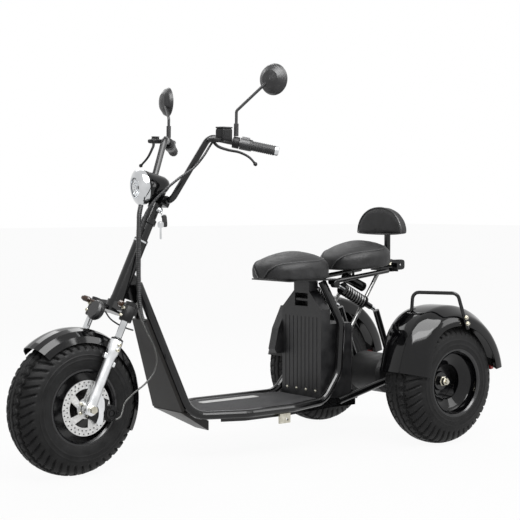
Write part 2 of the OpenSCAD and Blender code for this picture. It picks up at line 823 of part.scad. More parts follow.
// Horn ahead of the lower clamp
module horn() {
    color("#111112") steered() translate([clamp_boss_r + seat_gap, 0, clamp_s + 6]) {
        translate([0, -10, 0]) cube([24, 20, 8]);
        translate([18, 0, -24]) rotate([0, 90, 0]) rotate_extrude() polygon([
            [0, 0], [28, 0], [33, 8], [33, 20], [28, 26], [0, 26]
        ]);
    }
}

// Direction indicators that point outward and forward from the lower clamp
module indicators() {
    p = [fork_offset + 18.5, fork_y - 36, clamp_s + 18];
    run = unit([0.5, 0.85, 0.05]);
    color("#c06a18") steered() mirror_y() {
        bar(p, p + 30 * run, 5);
        along(p + 28 * run, p + 60 * run) rotate_extrude() polygon([
            [0, 0], [7, 0], [10, 8], [10, 24], [6, 33], [0, 35]
        ]);
    }
}

// Brake caliper astride the disc's rear edge, on a bracket from the left fork leg
module caliper() {
    reach = disc_d / 2 + 15;
    slot = 15;
    x = 6 - disc_d / 2;
    leg_x = -sqrt(pow(slider_d / 2, 2) - 25) - seat_gap;
    color("#141415") steered() translate([fork_offset, 0, 0]) difference() {
        intersection() {
            union() {
                translate([x, disc_y + 21, 16]) rotate([90, 0, 0]) cylinder(r = 27, h = 38);
                translate([x + 22, fork_y - 13, -28]) cube([leg_x - x - 22, 8, 80]);
            }
            rotate([90, 0, 0]) cylinder(r = reach, h = big, center = true);
        }
        translate([0, disc_y - 0.75, 0]) rotate([90, 0, 0])
            cylinder(r = disc_d / 2 + 5, h = slot, center = true);
    }
}

// A fat tyre of section width w: a round section cut off where it seats on the rim
module tyre(w) {
    about_y() difference() {
        translate([wheel_r - w / 2, 0]) circle(r = w / 2);
        translate([-big, -big / 2]) square([big + bead_d / 2, big]);
    }
}

// A rim for a tyre of section width w: its barrel carries the tyre, and its web, from in to out
// along the axle, holds the hub
module rim(w, web_in, web_out, hub_in, hub_out) {
    r = bead_d / 2 - seat_gap;
    wall = 12;
    half = sqrt(pow(w / 2, 2) - pow(wheel_r - w / 2 - bead_d / 2, 2));
    bore = axle_d / 2 + play;
    about_y() polygon([
        [bore, -hub_out], [32, -hub_out], [36, -web_out], [r - wall, -web_out], [r - wall, -half + 6],
        [r - wall + 6, -half], [r, -half], [r, half], [r - wall + 6, half], [r - wall, half - 6],
        [r - wall, web_in], [36, web_in], [32, hub_in], [bore, hub_in]
    ]);
}

module on_front_axle() {
    steered() translate([fork_offset, 0, 0]) children();
}

module front_tyre() {
    color("#141414") on_front_axle() tyre(front_tyre_w);
}

module front_rim() {
    color("#26282a") on_front_axle() rim(front_tyre_w, 14, 14, disc_y - 3, disc_y - 3);
}

module brake_disc() {
    hole_d = 8;
    color("#b4b6b8") on_front_axle() rotate([-90, 0, 0]) translate([0, 0, disc_y - 3]) difference() {
        cylinder(d = disc_d, h = 4.5);
        translate([0, 0, -1]) cylinder(r = axle_d / 2 + play, h = 8);
        for (i = [0 : 4])
            rotate([0, 0, 72 * i]) translate([disc_d * 0.3, 0, -1]) cylinder(d = disc_d * 0.16, h = 8);
        for (i = [0 : 17])
            rotate([0, 0, 20 * i]) translate([disc_d * 0.44, 0, -1]) cylinder(d = hole_d, h = 8);
    }
}

module on_rear_axle(side) {
    translate([rear_axle_x, side * side_y, wheel_r]) children();
}

module rear_tyre_left() {
    color("#141414") on_rear_axle(1) tyre(rear_tyre_w);
}

module rear_rim_left() {
    color("#3a3c3e") on_rear_axle(1) rim(rear_tyre_w, 26, 4, 80, 14);
}

module rear_tyre_right() {
    color("#141414") on_rear_axle(-1) tyre(rear_tyre_w);
}

module rear_rim_right() {
    color("#3a3c3e") on_rear_axle(-1) mirror([0, 1, 0]) rim(rear_tyre_w, 26, 4, 80, 14);
}

frame_neck();
rails();
leg_shield();
footboard();
floor_mat();
battery_box();
battery_handle();
controller_box();
seat_frame();
front_seat();
rear_seat();
backrest_post();
backrest_pad();
rear_subframe();
motor();
shocks();
reserve_can();
rear_fenders();
grab_rails();
tail_lamps();
stand_bracket();
steerer();
lower_clamp();
stanchions();
sliders();
front_axle();
front_fender();
bar_clamp();
handlebar();
grips();
switch_pods();
levers();
mirrors();
mirror_glass();
headlight_shell();
headlight_bezel();
headlight_lens();
horn();
indicators();
caliper();
front_tyre();
front_rim();
brake_disc();
rear_tyre_left();
rear_rim_left();
rear_tyre_right();
rear_rim_right();
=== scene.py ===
import json
import math
import bmesh
import bpy
import numpy as np
from mathutils import Matrix, Vector
from mathutils.geometry import tessellate_polygon


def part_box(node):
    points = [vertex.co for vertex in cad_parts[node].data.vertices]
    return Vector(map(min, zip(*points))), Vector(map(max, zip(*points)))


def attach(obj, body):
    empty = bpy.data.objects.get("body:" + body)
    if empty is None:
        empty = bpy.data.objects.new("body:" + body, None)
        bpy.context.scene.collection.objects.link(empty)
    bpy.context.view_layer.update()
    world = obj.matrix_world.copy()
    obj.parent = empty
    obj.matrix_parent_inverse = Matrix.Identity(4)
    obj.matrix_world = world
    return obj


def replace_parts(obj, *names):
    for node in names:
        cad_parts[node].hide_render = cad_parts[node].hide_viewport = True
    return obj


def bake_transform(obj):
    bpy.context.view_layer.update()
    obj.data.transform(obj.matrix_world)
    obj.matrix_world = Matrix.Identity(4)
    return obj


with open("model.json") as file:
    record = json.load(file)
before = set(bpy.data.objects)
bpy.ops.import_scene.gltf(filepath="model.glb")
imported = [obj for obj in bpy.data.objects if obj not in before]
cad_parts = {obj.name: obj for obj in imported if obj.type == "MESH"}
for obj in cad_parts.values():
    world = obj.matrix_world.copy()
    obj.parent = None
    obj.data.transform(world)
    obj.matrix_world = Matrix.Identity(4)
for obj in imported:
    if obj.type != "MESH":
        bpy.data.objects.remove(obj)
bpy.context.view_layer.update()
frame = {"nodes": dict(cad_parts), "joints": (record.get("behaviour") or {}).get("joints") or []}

# Frame: two bent steel tubes, the steering head with its web plate, and the plates and stays under the seats.
# All of it is welded mild steel under thick gloss black enamel, which flows into a faint orange peel.


def finish(name, dark, light, grain, rough, metal=0.0, gleam=0.5, bump=0.0, pitch=400.0):
    """A finish whose colour and roughness drift together with a soft noise of so many grains a metre,
    from dark and rough[0] to light and rough[1], and whose bump is a finer noise of the given pitch."""
    material = bpy.data.materials.new(name)
    material.use_nodes = True
    tree = material.node_tree
    shader = tree.nodes["Principled BSDF"]
    place = tree.nodes.new("ShaderNodeTexCoord")
    cloud = tree.nodes.new("ShaderNodeTexNoise")
    cloud.inputs["Scale"].default_value = grain
    cloud.inputs["Detail"].default_value = 5.0
    ramp = tree.nodes.new("ShaderNodeValToRGB")
    for stop, position, colour in zip(ramp.color_ramp.elements, (0.32, 0.68), (dark, light)):
        stop.position = position
        stop.color = (*colour, 1)
    dull = tree.nodes.new("ShaderNodeMapRange")
    for socket, value in zip(("From Min", "From Max", "To Min", "To Max"), (0.3, 0.7, *rough)):
        dull.inputs[socket].default_value = value
    tree.links.new(place.outputs["Object"], cloud.inputs["Vector"])
    tree.links.new(cloud.outputs["Fac"], ramp.inputs["Fac"])
    tree.links.new(cloud.outputs["Fac"], dull.inputs["Value"])
    tree.links.new(ramp.outputs["Color"], shader.inputs["Base Color"])
    tree.links.new(dull.outputs["Result"], shader.inputs["Roughness"])
    shader.inputs["Metallic"].default_value = metal
    shader.inputs["Specular IOR Level"].default_value = gleam
    if bump:
        fine = tree.nodes.new("ShaderNodeTexNoise")
        fine.inputs["Scale"].default_value = pitch
        fine.inputs["Detail"].default_value = 3.0
        raised = tree.nodes.new("ShaderNodeBump")
        raised.inputs["Strength"].default_value = bump
        raised.inputs["Distance"].default_value = 0.001
        tree.links.new(place.outputs["Object"], fine.inputs["Vector"])
        tree.links.new(fine.outputs["Fac"], raised.inputs["Height"])
        tree.links.new(raised.outputs["Normal"], shader.inputs["Normal"])
    return material


def dress(material, *names):
    """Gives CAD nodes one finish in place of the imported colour."""
    for name in names:
        mesh = frame["nodes"][name].data
        mesh.materials.clear()
        mesh.materials.append(material)


enamel = finish("enamel", (0.003, 0.003, 0.0035), (0.007, 0.007, 0.0075), 9, (0.1, 0.2), gleam=0.4, bump=0.04,
                pitch=160)
dress(enamel, "rails", "frame_neck", "seat_frame", "backrest_post", "grab_rails", "steerer", "handlebar")

# Fasteners: zinc-plated hexagon bolts with pressed flanges hold the hand hoops and the backrest's gussets.
# The plating is bright and a little yellow.


def shade(mesh, crease=math.radians(40)):
    """Smooths a mesh's faces and keeps the edges that turn by more than the crease."""
    mesh.polygons.foreach_set("use_smooth", np.ones(len(mesh.polygons), bool))
    mesh.set_sharp_from_angle(angle=crease)


def placed(name, mesh, material):
    """An object at the origin that carries a mesh in one material."""
    mesh.materials.append(material)
    piece = bpy.data.objects.new(name, mesh)
    bpy.context.scene.collection.objects.link(piece)
    return piece


def skin(name, grid, material, rows_meet=False, columns_meet=False):
    """A mesh over a grid of points (rows, columns, 3): each cell is one face, and rows or columns meet where asked.
    Doubled points at poles are merged, and the faces are turned outwards."""
    rows, columns = grid.shape[:2]
    index = np.arange(rows * columns).reshape(rows, columns)
    if rows_meet:
        index = np.vstack((index, index[:1]))
    if columns_meet:
        index = np.hstack((index, index[:, :1]))
    faces = np.stack((index[:-1, :-1], index[1:, :-1], index[1:, 1:], index[:-1, 1:]), -1).reshape(-1, 4)
    mesh = bpy.data.meshes.new(name)
    mesh.from_pydata(grid.reshape(-1, 3), [], faces.tolist())
    work = bmesh.new()
    work.from_mesh(mesh)
    bmesh.ops.remove_doubles(work, verts=work.verts, dist=1e-6)
    bmesh.ops.dissolve_degenerate(work, edges=work.edges, dist=1e-7)
    bmesh.ops.recalc_face_normals(work, faces=work.faces)
    work.to_mesh(mesh)
    work.free()
    shade(mesh)
    return placed(name, mesh, material)


def basis(axis):
    """Two unit directions square to an axis, and the axis made a unit one."""
    axis = np.asarray(axis, float) / np.linalg.norm(axis)
    side = np.cross(axis, (0.0, 0.0, 1.0) if abs(axis[2]) < 0.9 else (1.0, 0.0, 0.0))
    side /= np.linalg.norm(side)
    return side, np.cross(axis, side), axis


def turned(centre, axis, profile, count=32, corners=0):
    """A profile of (radius, height) pairs turned about an axis: point = centre + axis*height + radius*(cos b, sin b).
    With corners, each radius is cut back to a regular polygon, as on a nut."""
    side, across, axis = basis(axis)
    b = np.linspace(0, 2 * np.pi, count, endpoint=False)
    cut = np.ones(count)
    if corners:
        part = 2 * np.pi / corners
        cut = math.cos(part / 2) / np.cos(b % part - part / 2)
    profile = np.asarray(profile, float)
    ring = (side[None, :] * np.cos(b)[:, None] + across[None, :] * np.sin(b)[:, None]) * cut[:, None]
    return np.asarray(centre) + profile[:, :1, None] * ring[None] + profile[:, 1:, None] * axis


def joined(name, grids, material, body):
    """Several closed grids made one piece on one body."""
    parts = [skin(name, g, material, columns_meet=True) for g in grids]
    work = bmesh.new()
    for part in parts:
        work.from_mesh(part.data)
    whole = parts[0]
    work.to_mesh(whole.data)
    work.free()
    for part in parts[1:]:
        bpy.data.objects.remove(part)
    shade(whole.data)
    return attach(whole, body)


zinc = finish("zinc", (0.42, 0.40, 0.33), (0.62, 0.60, 0.52), 60, (0.22, 0.42), metal=1.0, bump=0.08, pitch=900)
hexagon = [(0, -0.002), (0.0092, -0.002), (0.0092, 0.0012), (0.0072, 0.0015), (0.0072, 0.0062), (0.006, 0.0072),
           (0, 0.0074)]


def bolts(name, places, body):
    """Flanged hexagon heads, each given by its place on the surface and the way it faces."""
    return joined(name, [turned(p, d, hexagon, 36, 6) for p, d in places], zinc, body)


# Leg shield: pressed steel sheet over the fronts of the rails, with a folded keel that runs back under the floor.
# It is sprayed like the frame but thinner, so that it has a duller, slightly brown sheen.
thin_paint = finish("thin_paint", (0.006, 0.0053, 0.0047), (0.013, 0.0116, 0.0104), 7, (0.3, 0.45), gleam=0.2,
                    bump=0.05, pitch=220)
dress(thin_paint, "leg_shield")

# Floor: a pressed pan between the rails under a moulded rubber mat with long ribs.
# The mat is worn grey where feet rest, and a plain pale strip is glued along the right of its middle.
dress(enamel, "footboard")
dress(zinc, "stand_bracket")
rubber_mat = finish("rubber_mat", (0.035, 0.035, 0.037), (0.085, 0.085, 0.088), 14, (0.5, 0.75), gleam=0.35, bump=0.3,
                    pitch=700)
dress(rubber_mat, "floor_mat")


def plate(name, loops, centre, across, along, thickness, material):
    """A flat plate: loops[0] is its outline and the rest are holes, as (u, v) points; the plan is filled once and laid
    at both faces, point = centre + across*u + along*v + normal*thickness, and every loop gets a wall."""
    flat = np.concatenate(loops)
    count, start = len(flat), 0
    rim = []
    for loop in loops:
        i = start + np.arange(len(loop))
        rim.append(np.stack((i, np.roll(i, -1)), -1))
        start += len(loop)
    rim = np.concatenate(rim)
    faces = tessellate_polygon([[Vector((*p, 0)) for p in loop] for loop in loops])
    u, v, normal = np.asarray(across, float), np.asarray(along, float), np.cross(across, along)
    low = np.asarray(centre) + flat[:, :1] * u + flat[:, 1:] * v
    walls = np.stack((rim[:, 0], rim[:, 1], rim[:, 1] + count, rim[:, 0] + count), -1).tolist()
    mesh = bpy.data.meshes.new(name)
    mesh.from_pydata(np.concatenate((low, low + normal * thickness)), [], [list(f)[::-1] for f in faces]
                     + [[i + count for i in f] for f in faces] + walls)
    work = bmesh.new()
    work.from_mesh(mesh)
    bmesh.ops.recalc_face_normals(work, faces=work.faces)
    work.to_mesh(mesh)
    work.free()
    return placed(name, mesh, material)


def loop_of(half_u, half_v, power, count=48, middle=(0, 0)):
    """A superellipse: |u/half_u|^power + |v/half_v|^power = 1, about a middle."""
    b = np.linspace(0, 2 * np.pi, count, endpoint=False)
    r = (np.abs(np.cos(b)) ** power + np.abs(np.sin(b)) ** power) ** (-1 / power)
    return np.stack((middle[0] + half_u * r * np.cos(b), middle[1] + half_v * r * np.sin(b)), -1)


pale = finish("pale", (0.5, 0.5, 0.49), (0.66, 0.66, 0.65), 30, (0.35, 0.5), bump=0.05, pitch=300)
mat_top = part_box("floor_mat")[1].z
strip_half, strip_at, strip_thick, glue = (0.128, 0.019), (0.012, -0.066), 0.0012, 0.0002
strip = plate("mat_strip", [loop_of(*strip_half, 9)], (*strip_at, mat_top + glue), (1, 0, 0), (0, 1, 0), strip_thick,
              pale)
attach(strip, "chassis")

# Battery: a moulded box of grained dark plastic with a fluted face, a carrying bar in its neck and four zinc studs
# along the foot of the face. The controller's cover on its right is the same plastic.
grained = finish("grained", (0.008, 0.008, 0.009), (0.018, 0.018, 0.019), 30, (0.3, 0.46), gleam=0.4, bump=0.3,
                 pitch=1500)
dress(grained, "battery_box", "controller_box", "battery_handle")
case_low, case_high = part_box("battery_box")
stud = [(0, -0.001), (0.0055, -0.001), (0.0055, 0.0012), (0.0045, 0.002), (0, 0.0022)]
stud_rise, stud_reach = 0.027, 0.08
studs = [turned((case_high.x, y, case_low.z + stud_rise), (1, 0, 0), stud, 24)
         for y in np.linspace(-stud_reach, stud_reach, 4)]
joined("case_studs", studs, zinc, "chassis")

# Seats: moulded foam under stretched black leather, with a sewn seam where the top panel meets the side.
# Each is blown up as cloth from a slightly smaller form, and rests flat on its plate.
leather = finish("leather", (0.014, 0.014, 0.0145), (0.03, 0.03, 0.031), 22, (0.42, 0.6), gleam=0.26, bump=0.5,
                 pitch=620)
thread = finish("thread", (0.008, 0.008, 0.009), (0.02, 0.02, 0.021), 80, (0.5, 0.7), bump=0.4, pitch=2500)


def saddle(low, high, b, reach, rise, shape=2.3, nose=0.16, level=0.4):
    """Points on a seat over a superellipse plan: (x, y) = middle + half*reach*(cos b, sin b)*stretch, and z = bottom +
    height*rise*fall, where fall eases the height down by nose ahead of the level share of the length."""
    middle, half = (np.array(low) + np.array(high)) / 2, (np.array(high) - np.array(low)) / 2
    stretch = (np.abs(np.cos(b)) ** shape + np.abs(np.sin(b)) ** shape) ** (-1 / shape)
    x, y = middle[0] + half[0] * reach * np.cos(b) * stretch, middle[1] + half[1] * reach * np.sin(b) * stretch
    t = np.clip(((x - low[0]) / (high[0] - low[0]) - level) / (1 - level), 0, 1)
    z = low[2] + (high[2] - low[2]) * rise * (1 - nose * t * t * (3 - 2 * t))
    return np.stack((x, y, z), -1)


def stuff(pad, base, cap=0.002, weave=0.005, pressure=4.0, steps=20, fade=0.012):
    """Blows a pad up as cloth under pressure, moves no point further than cap, and keeps it flat below base;
    the move grows to its full length over the fade above base."""
    bpy.context.view_layer.objects.active = pad
    remesh = pad.modifiers.new("even weave", "REMESH")
    remesh.mode = "VOXEL"
    remesh.voxel_size = weave
    remesh.use_smooth_shade = True
    bpy.ops.object.modifier_apply(modifier=remesh.name)
    size = len(pad.data.vertices) * 3
    sewn = np.zeros(size)
    pad.data.vertices.foreach_get("co", sewn)
    cloth = pad.modifiers.new("air", "CLOTH")
    cloth.settings.use_pressure = True
    cloth.settings.uniform_pressure_force = pressure
    cloth.settings.effector_weights.gravity = 0.0
    for step in range(1, steps + 1):
        bpy.context.scene.frame_set(step)
    blown = np.zeros(size)
    pad.evaluated_get(bpy.context.evaluated_depsgraph_get()).data.vertices.foreach_get("co", blown)
    pad.modifiers.remove(cloth)
    bpy.context.scene.frame_set(1)
    sewn, move = sewn.reshape(-1, 3), (blown - sewn).reshape(-1, 3)
    length = np.linalg.norm(move, axis=1, keepdims=True)
    move *= np.minimum(1.0, cap / np.maximum(length, 1e-9))
    move *= np.clip((sewn[:, 2:] - base) / fade, 0, 1)
    pad.data.vertices.foreach_set("co", (sewn + move).ravel())
    pad.data.polygons.foreach_set("use_smooth", np.ones(len(pad.data.polygons), bool))
    pad.data.update()
    softer = pad.modifiers.new("softer", "SUBSURF")
    softer.levels = softer.render_levels = 1
    return pad


def lay(points, count):
    """A smooth line through points: cubic pieces over chord length, whose slopes are the neighbours' mean slopes."""
    points = np.asarray(points, float)
    at = np.concatenate(([0], np.cumsum(np.linalg.norm(np.diff(points, axis=0), axis=1))))
    slope = np.gradient(points, at, axis=0)
    s = np.linspace(0, at[-1], count)
    i = np.clip(np.searchsorted(at, s, side="right") - 1, 0, len(at) - 2)
    h = (at[i + 1] - at[i])[:, None]
    t = ((s - at[i])[:, None]) / h
    return ((2 * t**3 - 3 * t**2 + 1) * points[i] + (t**3 - 2 * t**2 + t) * h * slope[i]
            + (3 * t**2 - 2 * t**3) * points[i + 1] + (t**3 - t**2) * h * slope[i + 1])


def swept(path, radius, sides=12, ring=False):
    """A round section carried along a path: point = path + radius*(cos b*side + sin b*across), with ends closed to
    a point unless the path is a ring. The side is square to the path and to the way the path bends least."""
    path = np.asarray(path, float)
    ahead = np.roll(path, -1, 0) - np.roll(path, 1, 0) if ring else np.gradient(path, axis=0)
    ahead /= np.linalg.norm(ahead, axis=1, keepdims=True)
    flat = np.linalg.svd(path - path.mean(0))[2][2]
    side = np.cross(ahead, flat)
    side /= np.linalg.norm(side, axis=1, keepdims=True)
    across = np.cross(ahead, side)
    b = np.linspace(0, 2 * np.pi, sides, endpoint=False)[None, :, None]
    radius = np.broadcast_to(np.asarray(radius, float), (len(path),))[:, None, None]
    tube = path[:, None] + radius * (side[:, None] * np.cos(b) + across[:, None] * np.sin(b))
    if ring:
        return tube
    cap = np.ones((1, sides, 1))
    return np.concatenate((path[None, :1] * cap, tube, path[None, -1:] * cap))


reach, rise = np.array([(0, 0), (0.94, 0), (0.98, 0.02), (0.995, 0.08), (1.0, 0.28), (0.995, 0.46), (0.965, 0.57),
                        (0.9, 0.665), (0.78, 0.77), (0.61, 0.865), (0.41, 0.935), (0.2, 0.985), (0, 1.0)]).T
turn = np.linspace(0, 2 * np.pi, 112, endpoint=False)
seam_turn = np.radians(np.linspace(7, 353, 220))
seam_rise = np.interp(np.abs(np.degrees(seam_turn) - 180), (0, 35, 85, 120, 141, 151, 157, 163, 169, 173),
                      (0.74, 0.73, 0.67, 0.71, 0.69, 0.62, 0.51, 0.41, 0.22, 0.06))
seam_reach = np.interp(seam_rise, rise[2:], reach[2:]) + 0.016
for name, shift, tilt in (("front_seat", 0.015, 0.0), ("rear_seat", 0.0, math.radians(3.5))):
    low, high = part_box(name)
    low, high = low + Vector((shift, 0, 0)), high + Vector((shift, 0, 0))
    middle_x, lean = (low.x + high.x) / 2, math.tan(tilt)
    form = saddle(low, high, *np.broadcast_arrays(turn[None], reach[:, None], rise[:, None]))
    form[..., 2] += (middle_x - form[..., 0]) * lean
    seat = stuff(skin(name + "_cover", form, leather, columns_meet=True), low.z - 0.01)
    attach(seat, "chassis")
    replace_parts(seat, name)
    line = saddle(low, high, seam_turn, seam_reach, seam_rise)
    line[:, 2] += (middle_x - line[:, 0]) * lean
    welt = skin(name + "_welt", swept(line, 0.003, 8), thread, columns_meet=True)
    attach(welt, "chassis")

# Backrest: a half-round foam pad under the same leather on a steel post, with a flat lower edge and a rounded rim.
# Glossy piping, lighter than the leather, runs round its front edge as a painted highlight along the crease there;
# bolted gussets hold the post, and two steel stays prop the rear seat.
low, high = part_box("backrest_pad")
low, high = low + Vector((-0.010, -0.008, -0.011)), high + Vector((-0.010, 0.008, -0.002))
width, height, depth = high.y - low.y - 0.01, high.z - low.z, high.x - low.x
roundness, sag, lift = 2.1, 0.006, 0.004
dome = (np.abs(np.cos(turn)) ** roundness + np.abs(np.sin(turn)) ** roundness) ** (-1 / roundness)
edge_z = np.where(np.sin(turn) > 0, np.sin(turn) * dome * height, np.sin(turn) * sag)
outline = np.stack((np.cos(turn) * dome * width / 2, edge_z), -1)
reach, where = np.array([(0, 0.05), (0.7, 0.02), (0.9, 0.05), (0.985, 0.2), (1.0, 0.4), (1.0, 0.8), (0.985, 0.9),
                         (0.94, 0.955), (0.8, 0.98), (0.4, 0.995), (0, 1.0)]).T
heart = np.array((0, height * 0.36))
rim = heart + (outline - heart)[None] * reach[:, None, None] + np.array(((low.y + high.y) / 2, low.z + lift))
pad_x = np.broadcast_to((low.x + depth * where)[:, None, None], (len(where), len(turn), 1))
pad_grid = np.concatenate((pad_x, rim), -1)
pad = stuff(skin("backrest_cover", pad_grid, leather, columns_meet=True), low.z - 0.02)
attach(pad, "chassis")
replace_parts(pad, "backrest_pad")
# The piping's lighter colour is a painted highlight: it stands in for the light that runs along the pad's front crease.
crease_highlight = finish("crease_highlight", (0.02, 0.02, 0.021), (0.045, 0.045, 0.046), 60, (0.18, 0.28), gleam=0.6, bump=0.1, pitch=900)
highlight_row, highlight_ring_r = 6, 0.0026
edge = pad_grid[highlight_row] + (pad_grid[highlight_row] - pad_grid[highlight_row].mean(0)) * 0.01
highlight_ring = skin("backrest_crease_highlight", swept(edge, highlight_ring_r, 10, ring=True), crease_highlight, rows_meet=True, columns_meet=True)
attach(highlight_ring, "chassis")
sides = (("left", 1), ("right", -1))
post_x, post_z, gusset_y, gusset_thick = -0.728, 0.6415, 0.030, 0.004
gusset = [loop_of(0.046, 0.02, 5), loop_of(0.004, 0.004, 2, 20, (-0.024, 0))[::-1]]
for side, s in sides:
    foot = plate(f"post_gusset_{side}", gusset, (post_x, s * gusset_y - gusset_thick / 2, post_z), (1, 0, 0),
                 (0, 0, 1), -gusset_thick, enamel)
    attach(foot, "chassis")
gusset_heads = [((post_x + x, s * (gusset_y + 0.0025), post_z + z), (0, s, 0))
                for s in (1, -1) for x, z in ((0.002, -0.004), (0.03, 0.002))]
bolts("gusset_bolts", gusset_heads, "chassis")
stay_steel = finish("stay_steel", (0.12, 0.12, 0.12), (0.24, 0.24, 0.235), 50, (0.3, 0.45), metal=1.0, bump=0.1,
                    pitch=800)
stay_r = 0.0072
stays = [swept(lay([(-0.5885, s * 0.076, 0.615), (-0.514, s * 0.077, 0.5105), (-0.4405, s * 0.078, 0.4075)], 24),
               stay_r, 20) for s in (1, -1)]
joined("seat_stays", stays, stay_steel, "chassis")

# Rear end: a welded axle beam with its arms, a cast motor housing, and two coil-over dampers under the rear seat.
# The springs are wound from dark steel wire, the damper rods are chromed, and a gloss black can hangs beside them.
cast = finish("cast", (0.004, 0.004, 0.0045), (0.011, 0.011, 0.0115), 40, (0.35, 0.55), gleam=0.22, bump=0.4, pitch=800)
dress(enamel, "rear_subframe")
dress(cast, "motor")
spring_steel = finish("spring_steel", (0.05, 0.05, 0.05), (0.13, 0.13, 0.13), 60, (0.2, 0.32), metal=1.0, bump=0.05,
                      pitch=500)
chrome = finish("chrome", (0.5, 0.51, 0.52), (0.66, 0.67, 0.68), 18, (0.04, 0.1), metal=1.0, bump=0.02, pitch=300)
gloss = finish("gloss", (0.002, 0.002, 0.0025), (0.0045, 0.0045, 0.005), 6, (0.05, 0.1), gleam=0.3, bump=0.015,
               pitch=90)
dress(gloss, "reserve_can")
cup_profile = [(0, 0.036), (0.022, 0.036), (0.024, 0.04), (0.024, 0.044), (0.012, 0.047), (0.012, 0.152),
               (0.024, 0.155), (0.024, 0.16), (0.02, 0.163), (0.011, 0.165), (0.011, 0.2), (0, 0.2)]
eye_profile = [(0, 0), (0.013, 0), (0.014, 0.001), (0.014, 0.023), (0.013, 0.024), (0, 0.024)]
coils, coil_r, coil_top, coil_run, wire_r, wire_sides = 8.5, 0.0185, 0.046, 0.108, 0.0042, 10
run = np.array((-0.206, 0.0, -0.1067))
stroke = np.linalg.norm(run)
run /= stroke
for name, side in sides:
    top = np.array((-0.350, side * 0.100, 0.5847))
    spring_at = np.linspace(0, 1, 260)
    b = 2 * np.pi * coils * spring_at
    e1, e2, e3 = basis(run)
    coil = (top + e3 * (coil_top + coil_run * spring_at)[:, None]
            + coil_r * (e1 * np.cos(b)[:, None] + e2 * np.sin(b)[:, None]))
    ahead = np.gradient(coil, axis=0)
    ahead /= np.linalg.norm(ahead, axis=1, keepdims=True)
    out = np.cross(ahead, e3)
    out /= np.linalg.norm(out, axis=1, keepdims=True)
    up = np.cross(ahead, out)
    wire_turn = np.linspace(0, 2 * np.pi, wire_sides, endpoint=False)[None, :, None]
    wire = coil[:, None] + wire_r * (out[:, None] * np.cos(wire_turn) + up[:, None] * np.sin(wire_turn))
    wire = np.concatenate((np.repeat(coil[None, :1], wire_sides, 1), wire, np.repeat(coil[None, -1:], wire_sides, 1)))
    cups = turned(top, run, cup_profile, 40)
    eye = turned(top + (0, -0.012, 0), (0, 1, 0), eye_profile, 32)
    joined("spring_" + name, [wire], spring_steel, "chassis")
    damper = joined("damper_" + name, [cups, eye], enamel, "chassis")
    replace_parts(damper, "shocks")
    rods = [turned(top, run, [(0, start), (0.008, start), (0.008, end), (0, end)], 24)
            for start, end in ((0.2, stroke - 0.0125), (0.01, 0.036))]
    joined("damper_rod_" + name, rods, chrome, "chassis")

# Rear fenders: deep-drawn sheet steel with rolled shoulders, sprayed gloss black and held by two bolts each.
# The hand hoops over them are bent tube with flattened, bolted ends, and a red lamp sits under each rear edge.


def fender(centre, side, start, end, crown, half, drop_out, drop_in, thick=0.0025, rounding=0.025, flat=0.03):
    """Sheet swept round an axle: radius = crown(a) - fall and offset follow a section of (fall, offset) pairs that
    turns down at both edges, laid once outside and once a sheet's thickness inside, for a from start to end. Near
    the front the section is rounder: outside its flat middle it falls further, by the rounding at its edges."""
    section = np.array([(drop_in, -half), (0.022, -half + 0.004), (0.012, -half + 0.01), (0.006, -half + 0.022),
                        (0.002, -half + 0.04), (0, -half + 0.06), (0, half - 0.07), (0.0012, half - 0.062),
                        (0.0045, half - 0.053), (0.012, half - 0.04), (0.0205, half - 0.027), (0.029, half - 0.014),
                        (0.036, half - 0.006), (0.046, half - 0.001), (drop_out, half)])
    back = section[::-1] + np.stack((np.full(len(section), thick), -np.sign(section[::-1, 1]) * thick), -1)
    back[0, 0], back[-1, 0] = section[-1, 0], section[0, 0]
    section = np.concatenate((section, back))
    a = np.radians(np.linspace(start, end, 90))
    ease = np.clip((70 - np.degrees(a)) / 50, 0, 1)[:, None]
    round_off = rounding * ease * np.clip((np.abs(section[None, :, 1]) - flat) / (half - flat), 0, 1) ** 2
    reach = crown(np.degrees(a))[:, None] - section[None, :, 0] - round_off
    grid = np.stack((centre[0] + reach * np.cos(a)[:, None], centre[1] + side * section[None, :, 1] + 0 * reach,
                     centre[2] + reach * np.sin(a)[:, None]), -1)
    middle = grid.mean(1, keepdims=True)
    return np.concatenate((middle[:1] + 0 * grid[:1], grid, middle[-1:] + 0 * grid[-1:]))


def tucked(a):
    """Radius of the rear fenders: 279.5 mm over the top, drawn in by 36 mm towards the front edge."""
    t = np.clip((66 - a) / 50, 0, 1)
    return 0.2795 - 0.036 * t * t * (3 - 2 * t)


red_lens = finish("red_lens", (0.22, 0.008, 0.008), (0.36, 0.02, 0.016), 120, (0.08, 0.16), bump=0.25, pitch=420)
dress(red_lens, "tail_lamps")
hoop_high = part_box("grab_rails")[1]
rear = {side: next(j for j in frame["joints"] if j["name"] == f"rear_{side}_spin") for side, _ in sides}
for side, s in sides:
    sheet = fender(rear[side]["pos_m"], s, start=12, end=170, crown=tucked, half=0.102, drop_out=0.072, drop_in=0.06)
    piece = skin(f"rear_fender_{side}", sheet, gloss, columns_meet=True)
    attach(piece, "chassis")
    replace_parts(piece, "rear_fenders")
bolts("hoop_bolts", [((rear["left"]["pos_m"][0] + x, s * (hoop_high.y - 0.0004), z), (0, s, 0))
                     for s in (1, -1) for x, z in ((-0.0305, 0.445), (-0.0235, 0.467))], "chassis")

# Wheels: fat tubeless tyres on dished steel rims. The tread has four zigzag grooves and open shoulder blocks, and
# the walls carry raised rings. The front wheel has a drilled brake disc on its left.
rubber = finish("rubber", (0.006, 0.006, 0.0062), (0.015, 0.015, 0.0153), 26, (0.45, 0.65), gleam=0.16, bump=0.25,
                pitch=900)


